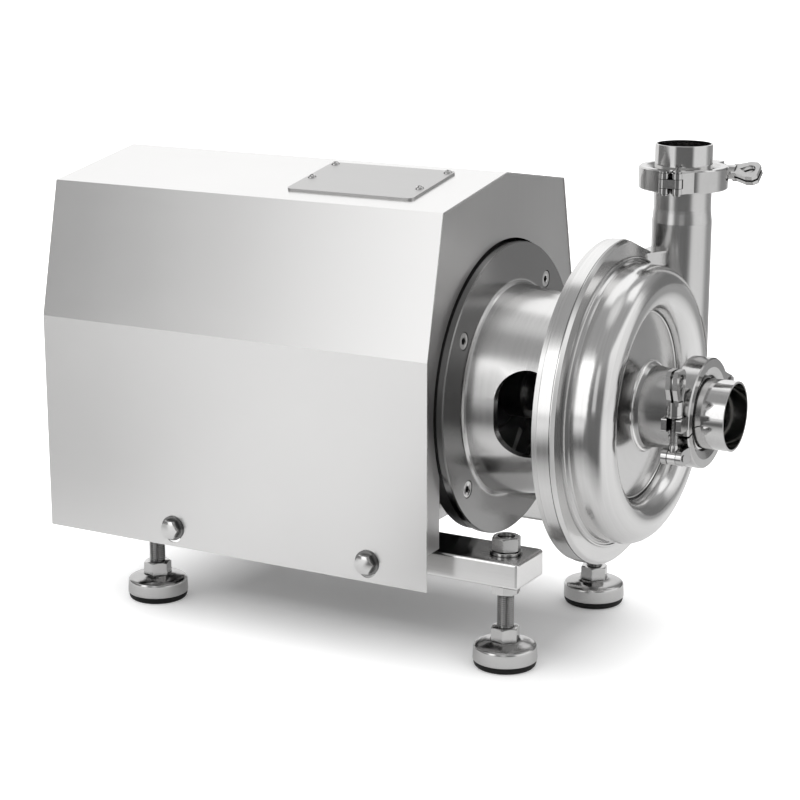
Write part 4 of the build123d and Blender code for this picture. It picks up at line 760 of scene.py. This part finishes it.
def foot_studs(foot):
    """Each levelling foot's cap, hexagon and threaded stud, as one turned and cut piece."""
    for place in foot_places:
        at = stand_under("foot_stud_" + place)
        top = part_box("foot_stud_" + place)[1][2]
        thread_top = top - stud_tip

        def work(bm):
            lathed(bm, cap_outline, at, 72)
            hexed(bm, stud_flats, *stud_hexagon_z, at)
            threaded(bm, stud_root_r, stud_r, stud_pitch, stud_thread_z, thread_top, at)
            tip = ((stud_root_r, thread_top), (stud_root_r - 0.0004, top), (0.0001, top))
            lathed(bm, tip, at, 36)

        made = piece("foot_screw_" + place, work, [foot], "foot_" + place)
        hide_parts("foot_stud_" + place)


def foot_pads(rubber):
    """Moulded rubber soles with a rounded edge, one in each cap."""
    for place in foot_places:
        at = stand_under("foot_pad_" + place)
        made = piece(
            "foot_sole_" + place, lambda bm: lathed(bm, sole_outline, at, 72), [rubber],
            "foot_" + place,
        )
        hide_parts("foot_pad_" + place)


def seam_rings(seam):
    """Dressed weld seams where the dish meets the volute and the suction neck, in steel lighter
    than the casing's as a painted highlight along them.
    """
    at = stand((0.0, 0.0, shaft_z), (1, 0, 0))

    def work(bm):
        lathed(bm, dish_seam_outline, at, 144)
        lathed(bm, neck_seam_outline, at, 120)

    piece("seam_rings", work, [seam], "frame")


def bar_nuts(bolt):
    """Nuts above and below each bar, and a washer under each upper one."""
    low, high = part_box("rail_nuts")
    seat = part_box("rail_near")[1][2]
    washer_top = high[2] - nut_height
    washer_outline = (
        (nut_bore_r, seat), (0.0147, seat), (0.0150, seat + 0.0003),
        (0.0150, washer_top - 0.0004), (0.0146, washer_top), (nut_bore_r, washer_top),
    )

    def work(bm):
        for place in foot_places:
            at = stand_under("foot_stud_" + place)
            hexed(bm, stud_flats, low[2], low[2] + nut_height, at, nut_bore_r)
            hexed(bm, stud_flats, washer_top, high[2], at, nut_bore_r)
            lathed(bm, washer_outline, at)

    made = piece("bar_nuts", work, [bolt], "frame")
    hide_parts("rail_nuts")


def wall_bolts(bolt, washer):
    """Hex heads and washers that hold the side sheets, with shanks through the slots."""
    def work(bm):
        for side in (-1, 1):
            for x in wall_bolts_x:
                at = stand((x, side * wall_y, wall_bolt_z), (0, side, 0), (1, 0, 0))
                hexed(bm, wall_bolt_flats, wall_washer_t, wall_bolt_top, at)
                # The washers take the second finish, steel with painted shade
                before_washer = len(bm.faces)
                lathed(bm, wall_washer_outline, at)
                bm.faces.ensure_lookup_table()
                for face in bm.faces[before_washer:]:
                    face.material_index = 1
                lathed(bm, wall_shank_outline, at, 24)

    made = piece("wall_bolts", work, [bolt, washer], "frame")
    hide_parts("shroud_bolts")


def flange_screws(bolt):
    """Countersunk socket screws that hold the lantern to the motor."""
    def work(bm):
        for y, z in flange_screws_at:
            socket_screw(
                bm, stand((flange_screws_x, y, z), (1, 0, 0)), head_r=0.0080, head_h=0.0042,
                shank_r=0.0050, length=0.0200, socket_flats=0.0060, socket_depth=0.0030,
            )

    made = piece("flange_screws", work, [bolt], "frame")
    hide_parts("adapter_screws")


def plate_screws(bolt):
    """Countersunk socket screws in the back plate's rear face."""
    def work(bm):
        for degrees in plate_screws_turn:
            turn = math.radians(degrees)
            y, z = plate_screws_r * math.cos(turn), shaft_z + plate_screws_r * math.sin(turn)
            socket_screw(
                bm, stand((plate_screws_x, y, z), (-1, 0, 0)), head_r=0.0048, head_h=0.0025,
                shank_r=0.0025, length=0.0130, socket_flats=0.0034, socket_depth=0.0016, steps=36,
            )

    made = piece("plate_screws", work, [bolt], "frame")
    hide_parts("casing_screws")


def lid_screws(bolt):
    """Pan heads with cross recesses on the roof's small plate."""
    slope = math.radians(roof_slope)
    across = Vector((0, math.cos(slope), math.sin(slope)))
    up = Vector((0, -math.sin(slope), math.cos(slope)))

    def work(bm):
        for index, (x, y) in enumerate(lid_screws_at):
            base = Vector(roof_middle) + Vector((x, 0, 0)) + across * y + up * roof_plate_t
            # Each screw stopped at a turn of its own
            turn = 0.4 + index * 0.9
            at = stand(base, up, (math.cos(turn), math.sin(turn), 0))
            cross_screw(bm, at, head_r=0.0042, head_h=0.0024, cross_r=0.0024, cross_half=0.00055)

    made = piece("lid_screws", work, [bolt], "frame")
    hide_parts("access_screws")


def eye_bolts(bolt):
    """Swing bolts: a pierced eye, a plain neck and a cut thread up into the wing nut."""
    for port, along_port in (("suction", (1, 0, 0)), ("discharge", (0, 0, 1))):
        up = joints[port + "_washer_slide"]["axis"]
        eye = Vector(joints[port + "_bolt_swing"]["pos_m"])
        low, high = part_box(port + "_swing_bolt")
        reach = sum((high[i] - eye[i]) * up[i] for i in range(3))
        thread_top = reach - bolt_tip
        at = stand(eye, up, along_port)
        pin = stand(eye, along_port, up)

        def work(bm):
            lathed(bm, eye_outline, pin, 40)
            lathed(bm, eye_neck_outline, at, 36)
            threaded(bm, bolt_root_r, bolt_r, bolt_pitch, bolt_thread_start, thread_top, at)
            tip = ((bolt_root_r, thread_top), (bolt_tip_r, reach), (0.0001, reach))
            lathed(bm, tip, at, 36)

        made = piece(port + "_eye_bolt", work, [bolt], port + "_swing_bolt")
        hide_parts(port + "_swing_bolt")


# Studio


def toward(x, y, radius, azimuth, foot, full):
    """1 within the full half width of an azimuth, fading to 0 at the half width of its foot."""
    turn = math.radians(azimuth)
    closeness = (x * math.cos(turn) + y * math.sin(turn)) / radius
    return closeness.over(math.cos(math.radians(foot)), math.cos(math.radians(full)))


def studio_floor():
    """A pale floor that glows for the camera, and shows mirroring metal its dark patches."""
    finish = Finish("studio_floor", (0.85, 0.85, 0.85), 0.8)
    mesh = bpy.data.meshes.new("studio_floor")
    bm = bmesh.new()
    bmesh.ops.create_grid(bm, x_segments=1, y_segments=1, size=floor_half)
    bm.to_mesh(mesh)
    bm.free()
    floor = bpy.data.objects.new("studio_floor", mesh)
    bpy.context.collection.objects.link(floor)
    seen, mirrored = finish.rays()
    x, y, z = finish.split(finish.place())
    radius = (x * x + y * y) ** 0.5 + 0.001
    dark = sum(
        toward(x, y, radius, azimuth, foot, full) * radius.over(near, far) * share
        for azimuth, foot, full, near, far, share in dark_patches
    )
    finish.set("Base Color", finish.mix(dark * mirrored, grey(0.86), grey(0.0)))
    side_x = (x.math("ABSOLUTE") - footprint_x).math("MAXIMUM", 0.0)
    side_y = (y.math("ABSOLUTE") - footprint_y).math("MAXIMUM", 0.0)
    away = ((side_x * side_x + side_y * side_y) ** 0.5).over(0.0, glow_reach)
    finish.set("Emission Color", finish.mix(seen * away, grey(0.0), grey(floor_glow)))
    finish.set("Emission Strength", 1.0)
    floor.data.materials.append(finish.material)


def studio_world():
    """White for the camera, soft for matt surfaces, and dark with soft boxes for metal."""
    world = bpy.data.worlds.new("studio")
    bpy.context.scene.world = world
    world.use_nodes = True
    wiring = Wiring(world.node_tree)
    back = world.node_tree.nodes["Background"]
    wiring.plug((1.0, 1.0, 1.0, 1.0), back.inputs["Color"])
    x, y, z = wiring.split(wiring.place("Generated"))
    seen, mirrored = wiring.rays()
    flat = (x * x + y * y) ** 0.5 + 0.001
    level = z.over(*high_rise) * high_glow + z.over(*top_rise) * top_glow + dark_level
    for azimuth, foot, top, start, full, fade, end, gain in soft_boxes:
        height = z.over(start, full) * (end - z).over(0.0, end - fade)
        level = level + toward(x, y, flat, azimuth, foot, top) * height * gain
    level = soft_level + (level - soft_level) * mirrored
    level = level + (1.0 - level) * seen
    wiring.plug(level, back.inputs["Strength"])


def lamp(name, place, size, power):
    """A soft rectangular lamp that metal doesn't mirror."""
    data = bpy.data.lights.new(name, "AREA")
    data.shape = "RECTANGLE"
    data.size, data.size_y = size
    data.energy = power
    light = bpy.data.objects.new(name, data)
    bpy.context.collection.objects.link(light)
    light.location = place
    light.visible_glossy = False
    toward_pump = Vector(lamp_target) - Vector(place)
    light.rotation_euler = toward_pump.to_track_quat("-Z", "Y").to_euler()


def studio_lamps():
    lamp("front_lamp", place=(-0.75, -2.7, 1.1), size=(1.9, 1.2), power=7)
    lamp("back_lamp", place=(-0.9, 2.6, 1.3), size=(3.4, 1.2), power=10)
    lamp("side_lamp", place=(1.9, -0.9, 1.3), size=(0.4, 1.4), power=3)


def main():
    set_camera()
    dress()
    studio_floor()
    studio_world()
    studio_lamps()
    bpy.context.scene.view_settings.view_transform = "Standard"


main()
